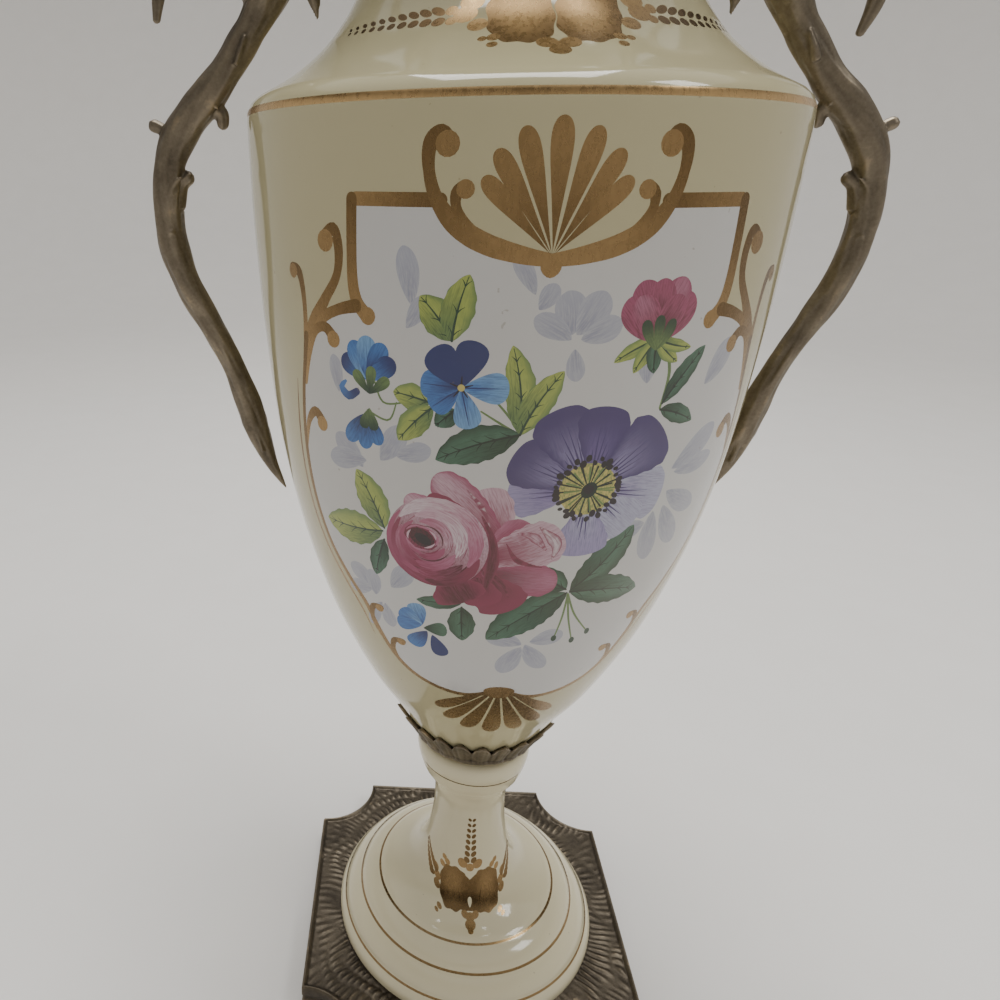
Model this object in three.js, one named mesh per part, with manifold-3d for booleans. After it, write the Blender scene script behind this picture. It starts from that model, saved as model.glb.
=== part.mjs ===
// A mounted mantel urn: a hand-painted porcelain vase on a porcelain foot, bolted up from
// separate pieces, with a square bronze plinth, a bronze leaf collar, a bronze mouth ring
// and two bronze branch handles. Millimetres, +Z up, underside of the plinth at z = 0,
// painted front towards -Y, handles along X.
import * as THREE from "three";
import { mergeVertices } from "three/addons/utils/BufferGeometryUtils.js";
import Module from "manifold-3d";

// Driving dimensions
const gap = 0.3; // clearance between pieces that bear on each other
const plinthSide = 118;
const plinthEdge = 76; // straight stretch of each side, between the scooped corners
const plinthHeight = 9;
const plinthBevel = 0.8;
const footRadius = 48;
const footHeight = 83.5;
const footWall = 5;
const bodyHeight = 275; // vase alone, from its seat in the collar to its lip
const bodyWall = 4;
const shoulderRadius = 69.7;
const shoulderHeight = 193.9; // where the shoulder starts to round over, above the seat
const shoulderRound = 5;
const shoulderTurn = 62; // degrees that the wall turns inwards there
const lipRadius = 45;
const lipDepth = 6; // straight part of the lip
const collarHeight = 15.6;
const leafCount = 18; // leaves round the collar
const leafCut = 3.2; // depth of the notch between two leaves
const flangeThickness = 3;
const flangeBore = 9;
const ringHeight = 11.5; // bronze ring at the mouth
const ringRise = 5.2; // how much of it stands above the lip
const ringThickness = 3.4;
const lug = { thickness: 4, width: 12, height: 11 }; // pad that bolts a handle to the ring

// Levels, from the table up
const footSeat = plinthHeight + gap;
const footTop = footSeat + footHeight;
const collarSeat = footTop + gap;
const bodySeat = collarSeat + flangeThickness + gap;
const lipLevel = bodySeat + bodyHeight;

const roundSteps = 36; // facets round each turned piece

const wasm = await Module();
wasm.setup();

// A curve through 2-D points, sampled evenly.
function smooth(points, count) {
  const curve = new THREE.SplineCurve(points.map(([x, y]) => new THREE.Vector2(x, y)));
  return curve.getSpacedPoints(count);
}

// The same outline moved sideways by a distance, for the inside of a wall.
function offset(points, distance) {
  return points.map((point, i) => {
    const before = points[Math.max(i - 1, 0)];
    const after = points[Math.min(i + 1, points.length - 1)];
    const along = after.clone().sub(before).normalize();
    return new THREE.Vector2(point.x - along.y * distance, point.y + along.x * distance);
  });
}

// A profile of (radius, height) points turned about the upright axis.
function turned(profile) {
  return new THREE.LatheGeometry(profile, roundSteps).rotateX(Math.PI / 2);
}

// A ring whose cross-section, a closed loop of [radius, height], varies with the angle.
function shapedRing(sectionAt, steps) {
  const sides = sectionAt(0).length;
  const positions = [];
  const faces = [];
  for (let i = 0; i < steps; i++) {
    const angle = (2 * Math.PI * i) / steps;
    for (const [radius, height] of sectionAt(angle))
      positions.push(radius * Math.cos(angle), radius * Math.sin(angle), height);
    for (let j = 0; j < sides; j++) {
      const next = ((i + 1) % steps) * sides;
      const side = (j + 1) % sides;
      faces.push(i * sides + j, next + j, next + side, i * sides + j, next + side, i * sides + side);
    }
  }
  return new THREE.BufferGeometry()
    .setAttribute("position", new THREE.Float32BufferAttribute(positions, 3))
    .setIndex(faces);
}

// A branch swept along points [x, z] in the plane y = 0. radii are its half widths, spread
// evenly along it; depth is its half thickness in Y as a share of its half width.
function branch(points, radii, depth, rings, sides = 7) {
  const curve = new THREE.SplineCurve(points.map(([x, z]) => new THREE.Vector2(x, z)));
  const last = radii.length - 1;
  const widths = new THREE.SplineCurve(radii.map((r, i) => new THREE.Vector2(i / last, r)));
  const positions = [];
  const faces = [];
  for (let i = 0; i <= rings; i++) {
    const share = i / rings;
    const centre = curve.getPointAt(share);
    const along = curve.getTangentAt(share);
    const width = Math.max(widths.getPoint(share).y, 0.25);
    for (let j = 0; j < sides; j++) {
      const turn = (2 * Math.PI * j) / sides;
      const across = width * Math.cos(turn);
      const forward = width * depth * Math.sin(turn);
      positions.push(centre.x - along.y * across, forward, centre.y + along.x * across);
    }
  }
  for (let i = 0; i < rings; i++)
    for (let j = 0; j < sides; j++) {
      const side = (j + 1) % sides;
      const [a, b, c, d] = [i * sides + j, i * sides + side, (i + 1) * sides + j, (i + 1) * sides + side];
      faces.push(a, d, b, a, c, d);
    }
  const end = rings * sides;
  for (let j = 1; j < sides - 1; j++) {
    faces.push(0, j, j + 1);
    faces.push(end, end + j + 1, end + j);
  }
  return new THREE.BufferGeometry()
    .setAttribute("position", new THREE.Float32BufferAttribute(positions, 3))
    .setIndex(faces);
}

function solidFrom(geometry) {
  const bare = geometry.clone();
  bare.deleteAttribute("normal");
  bare.deleteAttribute("uv");
  const merged = mergeVertices(bare, 1e-4);
  return new wasm.Manifold(
    new wasm.Mesh({
      numProp: 3,
      vertProperties: merged.attributes.position.array,
      triVerts: new Uint32Array(merged.index.array),
    }),
  );
}

function geometryFrom(solid) {
  const mesh = solid.getMesh();
  const geometry = new THREE.BufferGeometry()
    .setAttribute("position", new THREE.BufferAttribute(mesh.vertProperties, 3))
    .setIndex(new THREE.BufferAttribute(mesh.triVerts, 1))
    .toNonIndexed();
  geometry.computeVertexNormals();
  return geometry;
}

// Square slab with a quarter circle scooped out of each corner, its top edge eased.
function plinthGeometry() {
  const half = plinthSide / 2;
  const scoop = half - plinthEdge / 2 + plinthBevel; // the bevel grows the outline back to size
  const trim = Math.asin(plinthBevel / scoop);
  const corners = [[1, -1, Math.PI], [1, 1, 1.5 * Math.PI], [-1, 1, 0], [-1, -1, 0.5 * Math.PI]];
  const shape = new THREE.Shape();
  for (const [x, y, start] of corners)
    shape.absarc(x * half, y * half, scoop, start - trim, start - Math.PI / 2 + trim, true);
  shape.closePath();
  return new THREE.ExtrudeGeometry(shape, {
    depth: plinthHeight - 2 * plinthBevel,
    bevelThickness: plinthBevel,
    bevelSize: plinthBevel,
    bevelSegments: 1,
    curveSegments: 6,
  }).translate(0, 0, plinthBevel);
}

// Domed disc in three gold-lined steps, waisted stem and the bulb under the collar; hollow below.
function footGeometry() {
  const disc = [
    [footRadius - 1.2, 0], [footRadius - 0.1, 1.3], [footRadius, 3.6], [footRadius - 1.1, 5.4],
    [45.7, 6.3], [45.2, 7.1], [42.9, 10.2], [39.9, 12.8], [39.3, 13.5], [36.2, 16.1],
    [32.8, 18.2], [32.1, 18.8],
  ];
  const stem = [
    [32.1, 18.8], [27.2, 20.8], [22.2, 23.9], [18.2, 28.6], [15.2, 36], [13.3, 46], [12.8, 54], [13.1, 61],
    [14.7, 65.6], [17.4, 70], [19, 75], [19.7, 79],
  ];
  const crown = [[19.5, 81.6], [18.2, 83.2], [16.8, footHeight], [0, footHeight]];
  const rim = footRadius - footWall;
  const hollow = [[0, 40], [6.5, 37], [10.5, 28], [17, 20.5], [rim - 4, 7], [rim, 0]];
  const outline = [
    ...hollow.map(([r, z]) => new THREE.Vector2(r, z)),
    ...disc.map(([r, z]) => new THREE.Vector2(r, z)),
    ...smooth(stem, 11).slice(1),
    ...crown.map(([r, z]) => new THREE.Vector2(r, z)),
  ];
  return turned(outline);
}

// Cup of leaves that holds the vase: a flange under it and a thin wall rising to leaf tips.
function collarGeometry() {
  const stepsPerLeaf = 4;
  return shapedRing((angle) => {
    const tip = Math.abs(Math.cos((angle * leafCount) / 2)); // 1 on a leaf's midrib, 0 between leaves
    const top = collarHeight - leafCut * (1 - tip);
    const swell = 0.7 * tip;
    const slope = 0.6 * top; // the leaves follow the vase, which widens as it rises
    return [
      [flangeBore, 0], [18.3, 0], [21.6 + swell, 4.2], [24.9 + swell, 9], [slope + 18.4 + swell, top],
      [slope + 17.8, top - 0.4], [22.5, 7.6], [16.6, flangeThickness], [flangeBore, flangeThickness],
    ];
  }, leafCount * stepsPerLeaf);
}

// Outer outline of the vase, from the edge of its seat up to the lip.
function bodyOutline() {
  const belly = [
    [16, 0], [19.6, 2.4], [24.3, 8], [30.6, 18.4], [39.4, 33], [50.2, 57], [58.6, 84], [64.1, 111],
    [67.3, 140], [69.1, 168], [shoulderRadius, 190],
  ];
  const shoulder = [0.34, 0.67, 1].map((share) => {
    const angle = THREE.MathUtils.degToRad(share * shoulderTurn);
    return new THREE.Vector2(
      shoulderRadius - shoulderRound * (1 - Math.cos(angle)),
      shoulderHeight + shoulderRound * Math.sin(angle),
    );
  });
  const neck = [
    [67.35, 198.3], [58.9, 202.8], [51, 208.8], [45.6, 214.9], [41.8, 221], [38.4, 230], [36.6, 240],
    [36.8, 250], [39.6, 260.5], [lipRadius - 0.6, 267.5],
  ];
  return [
    ...smooth(belly, 12),
    ...shoulder,
    ...smooth(neck, 10).slice(1),
    new THREE.Vector2(lipRadius, bodyHeight - lipDepth),
    new THREE.Vector2(lipRadius, bodyHeight - 1),
    new THREE.Vector2(lipRadius - 1, bodyHeight),
  ];
}

// Hollow vase: belly, shoulder and neck in one, open at the top. Every other point of the
// outside is enough for the inside.
function bodyGeometry() {
  const outside = bodyOutline();
const wall = offset(outside, bodyWall);
  const kept = wall.filter((point, i) => i > 2 && i % 2 === 1 && i < wall.length - 2);
  const bore = lipRadius - bodyWall;
  const inside = [
    new THREE.Vector2(0, 6),
    new THREE.Vector2(17, 7.2),
    ...kept,
    new THREE.Vector2(bore, bodyHeight - 1),
    new THREE.Vector2(bore + 1, bodyHeight),
  ];
  return turned([new THREE.Vector2(0, 0), ...outside, ...inside.reverse()]);
}

// Moulded bronze ring that caps the lip and carries the handles.
function ringGeometry() {
  const inner = lipRadius + gap;
  const outer = inner + ringThickness;
  const bore = lipRadius - bodyWall;
  const above = lipLevel + gap;
  const below = above + ringRise - ringHeight;
  const section = [
    [inner, below], [outer - 1.4, below], [outer - 0.6, below + 1.2], [outer - 0.6, below + 3],
    [outer - 1.6, below + 4], [outer - 1.6, above + 0.6], [outer, above + 2], [outer, above + 4],
    [outer - 1.8, above + ringRise], [bore + 1.2, above + 3.2], [bore, above + 1.4], [bore, above],
    [inner, above],
  ];
  return turned([...section, section[0]].map(([r, z]) => new THREE.Vector2(r, z)));
}

// Handle: a branch from the mouth ring out over the shoulder and back in to a leaf beside the
// belly, with scrolls, buds and hanging leaves. It is drawn for the +X side, [x, height above
// the plinth]; hook is the line of its hanging outer scroll, which was bent by hand.
function handleGeometry(hook) {
  const root = lipRadius + gap + ringThickness + gap;
  const lift = (points) => points.map(([x, z]) => [x, z + plinthHeight]);
  const stem = branch(
    lift([
      [root + 3.4, 359], [root + 4, 346], [56.5, 332], [60.2, 320], [65.2, 309], [71.5, 299.5],
      [78.5, 290.5], [87, 281.5], [92.3, 273], [94.3, 262], [93.9, 250], [90.4, 238], [85.2, 228], [79.3, 216],
      [75, 203.5], [71.9, 193], [68.4, 183.5], [64.2, 175.3],
    ]),
    [4.2, 3.9, 4.2, 4.6, 5.6, 4, 4.2, 4.8, 4.6, 4.2, 4.1, 4, 3.6, 3.2, 3.5, 4.1, 2.6, 0.3], 0.85, 30,
  );
  const topScroll = branch(
    lift([[root + 3.6, 352], [55.5, 360], [61, 366], [68, 366.5], [72, 361], [69.5, 356]]),
    [3.6, 3.4, 3, 2.6, 2.4, 2.6], 0.85, 8,
  );
  const outerHook = branch(lift([[66, 308], [71.5, 318], ...hook]), [3.8, 3.2, 2.8, 2.5, 2.4, 2.1], 0.8, 8);
  const innerLeaf = branch(
    lift([[60.5, 322], [55.8, 318.5], [53, 312.5], [51.6, 305.4]]), [3.4, 3, 2.4, 0.3], 0.6, 5,
  );
  const innerScroll = branch(
    lift([[86, 279], [82.5, 284], [79.2, 284.8], [78.3, 281.6]]), [3, 2.4, 2, 1.7], 0.85, 5,
  );
  const outerBud = branch(lift([[90, 276], [94.5, 279.6], [97.6, 280.6]]), [2.4, 1.7, 2.2], 0.9, 4);
  const innerBud = branch(lift([[92, 262], [90, 266.4], [87.6, 268.2]]), [2.6, 2, 1.5], 0.9, 4);
  const pad = new THREE.BoxGeometry(lug.thickness, lug.width, lug.height)
    .translate(root + lug.thickness / 2, 0, lipLevel);
  return geometryFrom(
    wasm.Manifold.union(
      [stem, topScroll, outerHook, innerLeaf, innerScroll, outerBud, innerBud, pad].map(solidFrom),
    ),
  );
}

const porcelain = new THREE.MeshStandardMaterial({ color: 0xc9c3a8, roughness: 0.12, metalness: 0 });
const bronze = new THREE.MeshStandardMaterial({ color: 0x5e5342, roughness: 0.5, metalness: 0.85 });

const urn = new THREE.Group();
urn.name = "mantel_urn";

function add(name, geometry, material, height = 0, turn = 0) {
  const mesh = new THREE.Mesh(geometry, material);
  mesh.name = name;
  mesh.position.z = height;
  mesh.rotation.z = turn;
  urn.add(mesh);
}

add("plinth", plinthGeometry(), bronze);
add("foot", footGeometry(), porcelain, footSeat);
add("collar", collarGeometry(), bronze, collarSeat);
add("body", bodyGeometry(), porcelain, bodySeat);
add("mouth_ring", ringGeometry(), bronze);
const rightHook = [[78, 321.5], [84.5, 317], [86, 309], [83.6, 301]];
const leftHook = [[79, 323.5], [87, 321], [91.5, 314], [93.4, 306.5]];
add("handle_right", handleGeometry(rightHook), bronze);
add("handle_left", handleGeometry(leftHook), bronze, 0, Math.PI);

export default urn;
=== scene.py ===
# Mantel urn: the looks of a bronze-mounted porcelain vase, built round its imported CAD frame
import bmesh
import bpy
import numpy as np
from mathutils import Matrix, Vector
from mathutils.geometry import delaunay_2d_cdt


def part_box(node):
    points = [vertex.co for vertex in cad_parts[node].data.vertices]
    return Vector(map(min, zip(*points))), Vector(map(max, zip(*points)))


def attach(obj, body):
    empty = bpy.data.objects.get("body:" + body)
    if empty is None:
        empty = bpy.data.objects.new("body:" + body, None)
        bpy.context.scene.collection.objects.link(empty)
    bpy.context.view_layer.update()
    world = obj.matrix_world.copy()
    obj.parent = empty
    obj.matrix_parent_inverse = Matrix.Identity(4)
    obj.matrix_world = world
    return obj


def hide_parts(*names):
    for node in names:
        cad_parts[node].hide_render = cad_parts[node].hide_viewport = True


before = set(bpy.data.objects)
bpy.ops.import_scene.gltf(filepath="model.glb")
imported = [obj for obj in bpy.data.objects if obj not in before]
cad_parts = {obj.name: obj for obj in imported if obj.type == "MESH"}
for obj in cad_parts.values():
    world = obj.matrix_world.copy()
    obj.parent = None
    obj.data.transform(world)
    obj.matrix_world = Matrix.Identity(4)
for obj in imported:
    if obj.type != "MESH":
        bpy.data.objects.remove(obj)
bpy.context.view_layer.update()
mm = 0.001
turn = 2 * np.pi


# ---- shapes ----

def curveThrough(points, count):
    # a Catmull-Rom curve through the points, then sampled evenly along its length
    knots = np.asarray(points, float)
    padded = np.vstack([knots[:1], knots, knots[-1:]])
    t = np.linspace(0, len(knots) - 1, 40 * len(knots))
    i = np.minimum(t.astype(int), len(knots) - 2)
    f = (t - i)[:, None]
    a, b, c, d = (padded[i + k] for k in range(4))
    fine = 0.5 * (2 * b + (c - a) * f + (2 * a - 5 * b + 4 * c - d) * f**2 + (3 * b - a - 3 * c + d) * f**3)
    return evenly(fine, count)


def oval(angle, wide=1.0, high=1.0):
    # points of an oval at these angles, in radians
    return np.stack([wide * np.cos(angle), high * np.sin(angle)], axis=-1)


def rotated(points, angle):
    c, s = np.cos(angle), np.sin(angle)
    return points @ np.array([[c, s], [-s, c]])


def lengths(points):
    # the distance walked to each point of a line
    return np.concatenate([[0], np.cumsum(np.linalg.norm(np.diff(points, axis=0), axis=1))])


def headings(line, least=0.0):
    # the unit direction of a line at each of its points
    along = np.gradient(line, axis=0)
    return along / (np.linalg.norm(along, axis=1)[:, None] + least)


def evenly(points, count):
    # the same line with its points at equal steps of its length
    length = lengths(points)
    at = np.linspace(0, length[-1], count)
    return np.stack([np.interp(at, length, points[:, k]) for k in range(points.shape[1])], axis=1)


def cornered(points, step):
    # a line that keeps its corners, filled in with points about one step apart
    points = np.asarray(points, float)
    out = [points[:1]]
    for a, b in zip(points[:-1], points[1:]):
        n = max(1, int(np.ceil(np.linalg.norm(b - a) / step)))
        out.append(a + (b - a) * np.linspace(1 / n, 1, n)[:, None])
    return np.vstack(out)


def gridFaces(rows, columns, base=0, wrapRows=False):
    # the quads between points numbered row by row from base; the last column joins the first
    index = np.arange(rows * columns).reshape(rows, columns) + base
    if wrapRows:
        index = np.vstack([index, index[:1]])
    index = np.hstack([index, index[:, :1]])
    return np.stack([index[:-1, :-1], index[:-1, 1:], index[1:, 1:], index[1:, :-1]], axis=-1).reshape(-1, 4)


def gridMesh(name, grid, wrapRows=False):
    # a mesh of quads over a (rows, columns, 3) grid of points in mm; shared points are merged
    return meshOf(name, grid.reshape(-1, 3), gridFaces(*grid.shape[:2], wrapRows=wrapRows))


def placed(name, data):
    piece = bpy.data.objects.new(name, data)
    bpy.context.scene.collection.objects.link(piece)
    return piece


def clean(mesh, nearest):
    # points nearer than that are merged, faces are turned outwards and shaded smooth
    tidy = bmesh.new()
    tidy.from_mesh(mesh)
    bmesh.ops.remove_doubles(tidy, verts=tidy.verts, dist=nearest)
    bmesh.ops.recalc_face_normals(tidy, faces=tidy.faces)
    tidy.to_mesh(mesh)
    tidy.free()
    mesh.polygons.foreach_set("use_smooth", np.ones(len(mesh.polygons), bool))


def meshOf(name, points, faces):
    mesh = bpy.data.meshes.new(name)
    mesh.from_pydata((np.asarray(points) * mm).tolist(), [], np.asarray(faces).tolist())
    clean(mesh, 1e-7)
    return placed(name, mesh)


def turnedGrid(profile, columns):
    # a profile of (radius, height) carried round the upright axis
    angle = np.arange(columns) * turn / columns
    radius, height = profile[:, :1], profile[:, 1:]
    flat = np.ones_like(angle)
    return np.stack([radius * np.cos(angle), radius * np.sin(angle), height * flat], axis=-1)


def finished(piece, material, slot, *nodes):
    piece.data.materials.append(material)
    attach(piece, "root")
    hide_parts(*nodes)


def ramp(x, low, high):
    t = np.clip((x - low) / (high - low), 0, 1)
    return t * t * (3 - 2 * t)


# ---- plinth ----

plinth = {
    "half": 59, "edge": 38, "height": 9, "flatRadius": 46, "rim": 1.1, "sunk": 0.55, "relief": 0.62,
    "groove": 0.3, "strokes": 132, "columns": 640, "rows": 64,
    # inset and level down the side
    "side": [(0, 7.9), (0, 5.2), (0.25, 4.8), (0.25, 3.2), (0, 2.8), (0, 0.8), (0.8, 0), (8, 0)],
}


def plinthOutline(count):
    # the square with a quarter circle scooped from each corner, walked anticlockwise from the front edge
    half, edge = plinth["half"], plinth["edge"]
    scoop = half - edge
    path = []
    for k in range(4):
        angle = np.linspace(0, 1, 24) * turn / 4
        corner = oval(angle, -scoop, scoop) + [half, -half]
        path.append(rotated(corner, k * turn / 4))
    path.append(path[0][:1])
    return evenly(cornered(np.vstack(path), 1.0), count + 1)[:-1]


def wave(x, y, seed):
    # smooth repeatable noise: a few sine waves in turned directions
    total = 0
    for k in range(4):
        a = seed * 1.7 + k * 2.4
        f = 0.9 + 0.45 * k
        total = total + np.sin(f * (x * np.cos(a) + y * np.sin(a)) + 3.1 * k + seed) / (1 + 0.5 * k)
    return total / 2.2


def plinthRelief(x, y):
    # short broken strokes like fur that run out from the foot, fading into a pebbled ground
    radius = np.hypot(x, y)
    angle = np.arctan2(y, x)
    drift = wave(x / 7, y / 7, 2)
    strokes = 0.5 + 0.5 * np.cos(plinth["strokes"] * angle + 6 * drift + 1.5 * wave(x / 2.8, y / 2.8, 4))
    lengths = 0.5 + 0.5 * np.cos(0.85 * radius + 5 * wave(x / 5, y / 5, 7))
    patch = ramp(wave(x / 9, y / 9, 11) + 0.9 * ramp(x - y, 20, 90), -0.4, 0.7)
    pebbles = wave(x * 1.1, y * 1.1, 9) * wave(x * 0.7, y * 0.7, 3)
    return (strokes**2 * lengths**0.8) * (0.3 + 0.7 * patch) + 0.10 * pebbles


def makePlinth():
    # rows run from the flat under the foot out to the edge, over its eased lip, down and in below
    rows = plinth["rows"]
    edge = plinthOutline(plinth["columns"])
    reach = np.linalg.norm(edge, axis=1)
    start = edge / reach[:, None] * plinth["flatRadius"]
    share = np.linspace(0, 1, rows)[:, None, None]
    top = start + (edge - start) * share
    x, y = top[..., 0], top[..., 1]
    inside = (1 - share[..., 0]) * np.linalg.norm(edge - start, axis=1)
    field = ramp(inside, plinth["rim"], plinth["rim"] + 1.2)
    centre = ramp(np.hypot(x, y), 46.5, 48.5)
    groove = ramp(inside, 0, 0.5) * (1 - ramp(inside, plinth["rim"] - 0.5, plinth["rim"] + 0.5))
    height = plinth["height"] - plinth["sunk"] * field * centre
    height = height + plinth["relief"] * plinthRelief(x, y) * field * centre
    height = height + plinth["groove"] * groove * centre
    height[-1] = plinth["height"] - 0.5
    grid = np.dstack([x, y, height])
    side = []
    for inset, level in plinth["side"]:
        ring = edge * (1 - inset / reach)[:, None]
        side.append(np.column_stack([ring, np.full(len(ring), level)]))
    middle = [np.column_stack([edge * 0, np.full(len(edge), plinth["height"])])]
    bottom = [np.column_stack([edge * 0, np.zeros(len(edge))])]
    grid = np.concatenate([middle, grid, side, bottom])
    return gridMesh("plinth_cast", grid)


# ---- foot ----

foot = {
    "seat": 9.3, "columns": 120,
    "steps": [
        [(46.8, 0), (47.9, 1.2), (48, 3.4), (47.2, 5.2), (45.9, 6.5)],
        [(45.6, 6.6), (45.1, 8.2), (43.2, 10.6), (41.2, 12.4), (39.8, 13.2)],
        [(39.5, 13.4), (38.6, 14.9), (36.6, 16.6), (34.2, 17.9), (32.7, 18.4)],
        [(32.4, 18.6), (30.6, 19.7), (27.2, 21.0), (22.2, 24.1), (18.2, 28.8), (15.2, 36), (13.3, 46),
         (12.8, 54), (13.1, 61), (14.7, 65.6), (17.4, 70), (19, 75), (19.7, 79), (19.4, 81.8), (18.2, 83.3),
         (16.6, 83.5)],
    ],
    "hollow": [(43, 0), (39, 7), (17, 20.5), (10.5, 28), (6.5, 37), (0, 40)],
}


def footProfile():
    steps = [curveThrough(step, 24 + 8 * len(step)) for step in foot["steps"]]
    return np.vstack(steps) + [0, foot["seat"]]


# ---- collar ----

collar = {
    "seat": 93.1, "height": 14.8, "leaves": 24, "perLeaf": 24, "reach": 28.4,
    "outline": [(18.3, 0), (20.2, 2), (22.3, 4.6), (24.3, 8), (26.2, 11.6), (28.2, 15.8)],
    "flange": [(16.6, 3.0), (9.0, 3.0), (9.0, 0.0)],
}


def makeCollar():
    # across (0 in a notch, 1 on a midrib) shapes each leaf: lobed edge, raised midrib, tip curling out
    angle = np.arange(collar["leaves"] * collar["perLeaf"]) * turn / (collar["leaves"] * collar["perLeaf"])
    across = np.abs(np.cos(angle * collar["leaves"] / 2))
    lobes = 0.5 + 0.5 * np.cos(angle * collar["leaves"] * 3)
    top = collar["height"] - 4.6 * (1 - across) ** 0.9 - 0.45 * (1 - lobes) * (1 - across**4)
    share = np.linspace(0, 1, 40)[:, None]
    height = share * top
    base = curveThrough(collar["outline"], 80)
    radius = np.interp(height, base[:, 1], base[:, 0])
    rib = np.exp(-(((1 - across) / 0.12) ** 2))
    vein = np.cos(angle * collar["leaves"] * 3 + 1.5 * share)
    swell = np.sin(np.pi * share) * (0.5 * across - 0.3) + 0.35 * rib * share
    swell = swell + 0.16 * vein * share * (1 - rib) + 0.7 * ramp(share, 0.6, 1) * across**0.8
    bead = np.exp(-(((height - 3.2) / 1.1) ** 2)) * 0.5
    outer = radius - 0.5 * ramp(height, 2, 5) + (swell + bead) * ramp(share, 0.0, 0.12)
    outer = np.minimum(outer, collar["reach"])
    wall = np.minimum(0.6 * height + 17.8, outer - 0.35)
    wall = np.maximum(wall, 17)
    rows = [np.stack([r * np.cos(angle), r * np.sin(angle), h], axis=-1) for r, h in zip(outer, height)]
    back = [np.stack([r * np.cos(angle), r * np.sin(angle), h - 0.15], axis=-1)
            for r, h in list(zip(wall, height))[:7:-1]]
    ones = np.ones_like(angle)
    inner = [np.stack([r * np.cos(angle), r * np.sin(angle), h * ones], axis=-1)
             for r, h in collar["flange"]]
    grid = np.stack(rows + back + inner)
    grid[..., 2] += collar["seat"]
    return gridMesh("collar_leaves", grid, wrapRows=True)


# ---- mouth ring ----

ring = {
    "lip": 371.4, "inner": 45.3, "bore": 41, "beads": 48,
    "outside": [(2.0, -6.3), (2.8, -5.6), (2.9, -4.2), (1.9, -3.0), (1.7, -0.6), (2.4, 0.8), (3.4, 2.2),
                (3.2, 4.2), (1.8, 5.2)],
    "inside": [(1.4, 3.6), (0.3, 2.4), (0, 1.2), (0, 0)],
}


def makeRing():
    inner, bore, above = ring["inner"], ring["bore"], ring["lip"] + 0.3
    outside = curveThrough([(inner + x, above + z) for x, z in ring["outside"]], 60)
    inside = [(bore + x, above + z) for x, z in ring["inside"]] + [(inner, above), (inner, above - 6.3)]
    grid = turnedGrid(np.vstack([outside, cornered(inside, 1.0)]), 240)
    angle = np.arctan2(grid[..., 1], grid[..., 0])
    reach = np.hypot(grid[..., 0], grid[..., 1])
    bead = np.exp(-(((grid[..., 2] - above - 3.0) / 1.3) ** 2)) * (reach > inner + 2)
    grid[..., :2] *= (1 + 0.006 * bead * (np.cos(ring["beads"] * angle) - 1))[..., None]
    return gridMesh("mouth_ring_cast", grid, wrapRows=True)


# ---- handles ----

handle = {
    "voxel": 0.38, "lug": ((49, 53), (-6, 6), (365.9, 376.9)),  # the block that ends in the mouth ring
    "stem": [(52.4, 359), (53, 346), (56.5, 332), (60.2, 320), (65.2, 309), (71.5, 299.5), (78.5, 290.5),
             (87, 281.5), (92.3, 273), (94.3, 262), (93.9, 250), (90.4, 238), (85.2, 228), (79.3, 216),
             (75, 203.5), (71.9, 193), (68.4, 183.5), (64.2, 175.3)],
    "stemWidth": [4.2, 3.9, 4.2, 4.6, 5.6, 4, 4.2, 4.8, 4.6, 4.2, 4.1, 4, 3.6, 3.2, 3.5, 4.1, 2.6, 0.3],
    "rightHook": [(66, 308), (71.5, 318), (78, 321.5), (84.5, 317), (86, 309), (83.6, 301)],
    "leftHook": [(66, 308), (71.5, 318), (79, 323.5), (87, 321), (91.5, 314), (93.4, 305.5)],
    "hookWidth": [3.8, 3.2, 2.8, 2.5, 2.3, 1.1],
    "twigs": {
        "topScroll": ([(52.6, 352), (55.5, 360), (61, 366), (68, 366.5), (72, 361), (69.5, 356)],
                      [3.6, 3.4, 3, 2.6, 2.4, 2.6], 0.85),
        "innerLeaf": ([(60.5, 322), (55.8, 318.5), (53, 312.5), (51.6, 305.4)], [3.4, 3, 2.4, 0.3], 0.6),
        "innerScroll": ([(88.5, 276.5), (85, 282.4), (81, 284.6), (78, 283.2), (77.6, 280.8)],
                        [2.8, 2.7, 2.7, 2.3, 1.7], 0.75),
        "outerBud": ([(90, 276), (94, 279.2), (96.4, 280.4)], [2.4, 1.5, 1.75], 0.9),
        "innerBud": ([(92.4, 260), (90.6, 265.2), (88.2, 267.2)], [2.8, 2.3, 1.9], 0.9),
    },
    "ridges": [  # rims and knots on both faces: path, half width, distance out from the middle plane
        ([(91, 270.5), (88.3, 277.5), (84.6, 283.6), (80.6, 285.8), (78.2, 284.4)], 0.55, 2.5),
        ([(94.2, 258.5), (92.4, 264.4), (89.4, 267.4)], 0.6, 2.9),
        ([(93.2, 252.5), (93.9, 254.2)], 0.95, 3.0),
        ([(66.4, 310), (61, 320.5), (57, 331)], 0.7, 3.6), ([(72.8, 294.5), (70, 301)], 0.9, 3.7),
        ([(77, 211), (80.6, 219.5), (84.4, 227.5)], 0.5, 2.6), ([(70.4, 188), (73.2, 198)], 0.5, 2.9),
    ],
}


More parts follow.
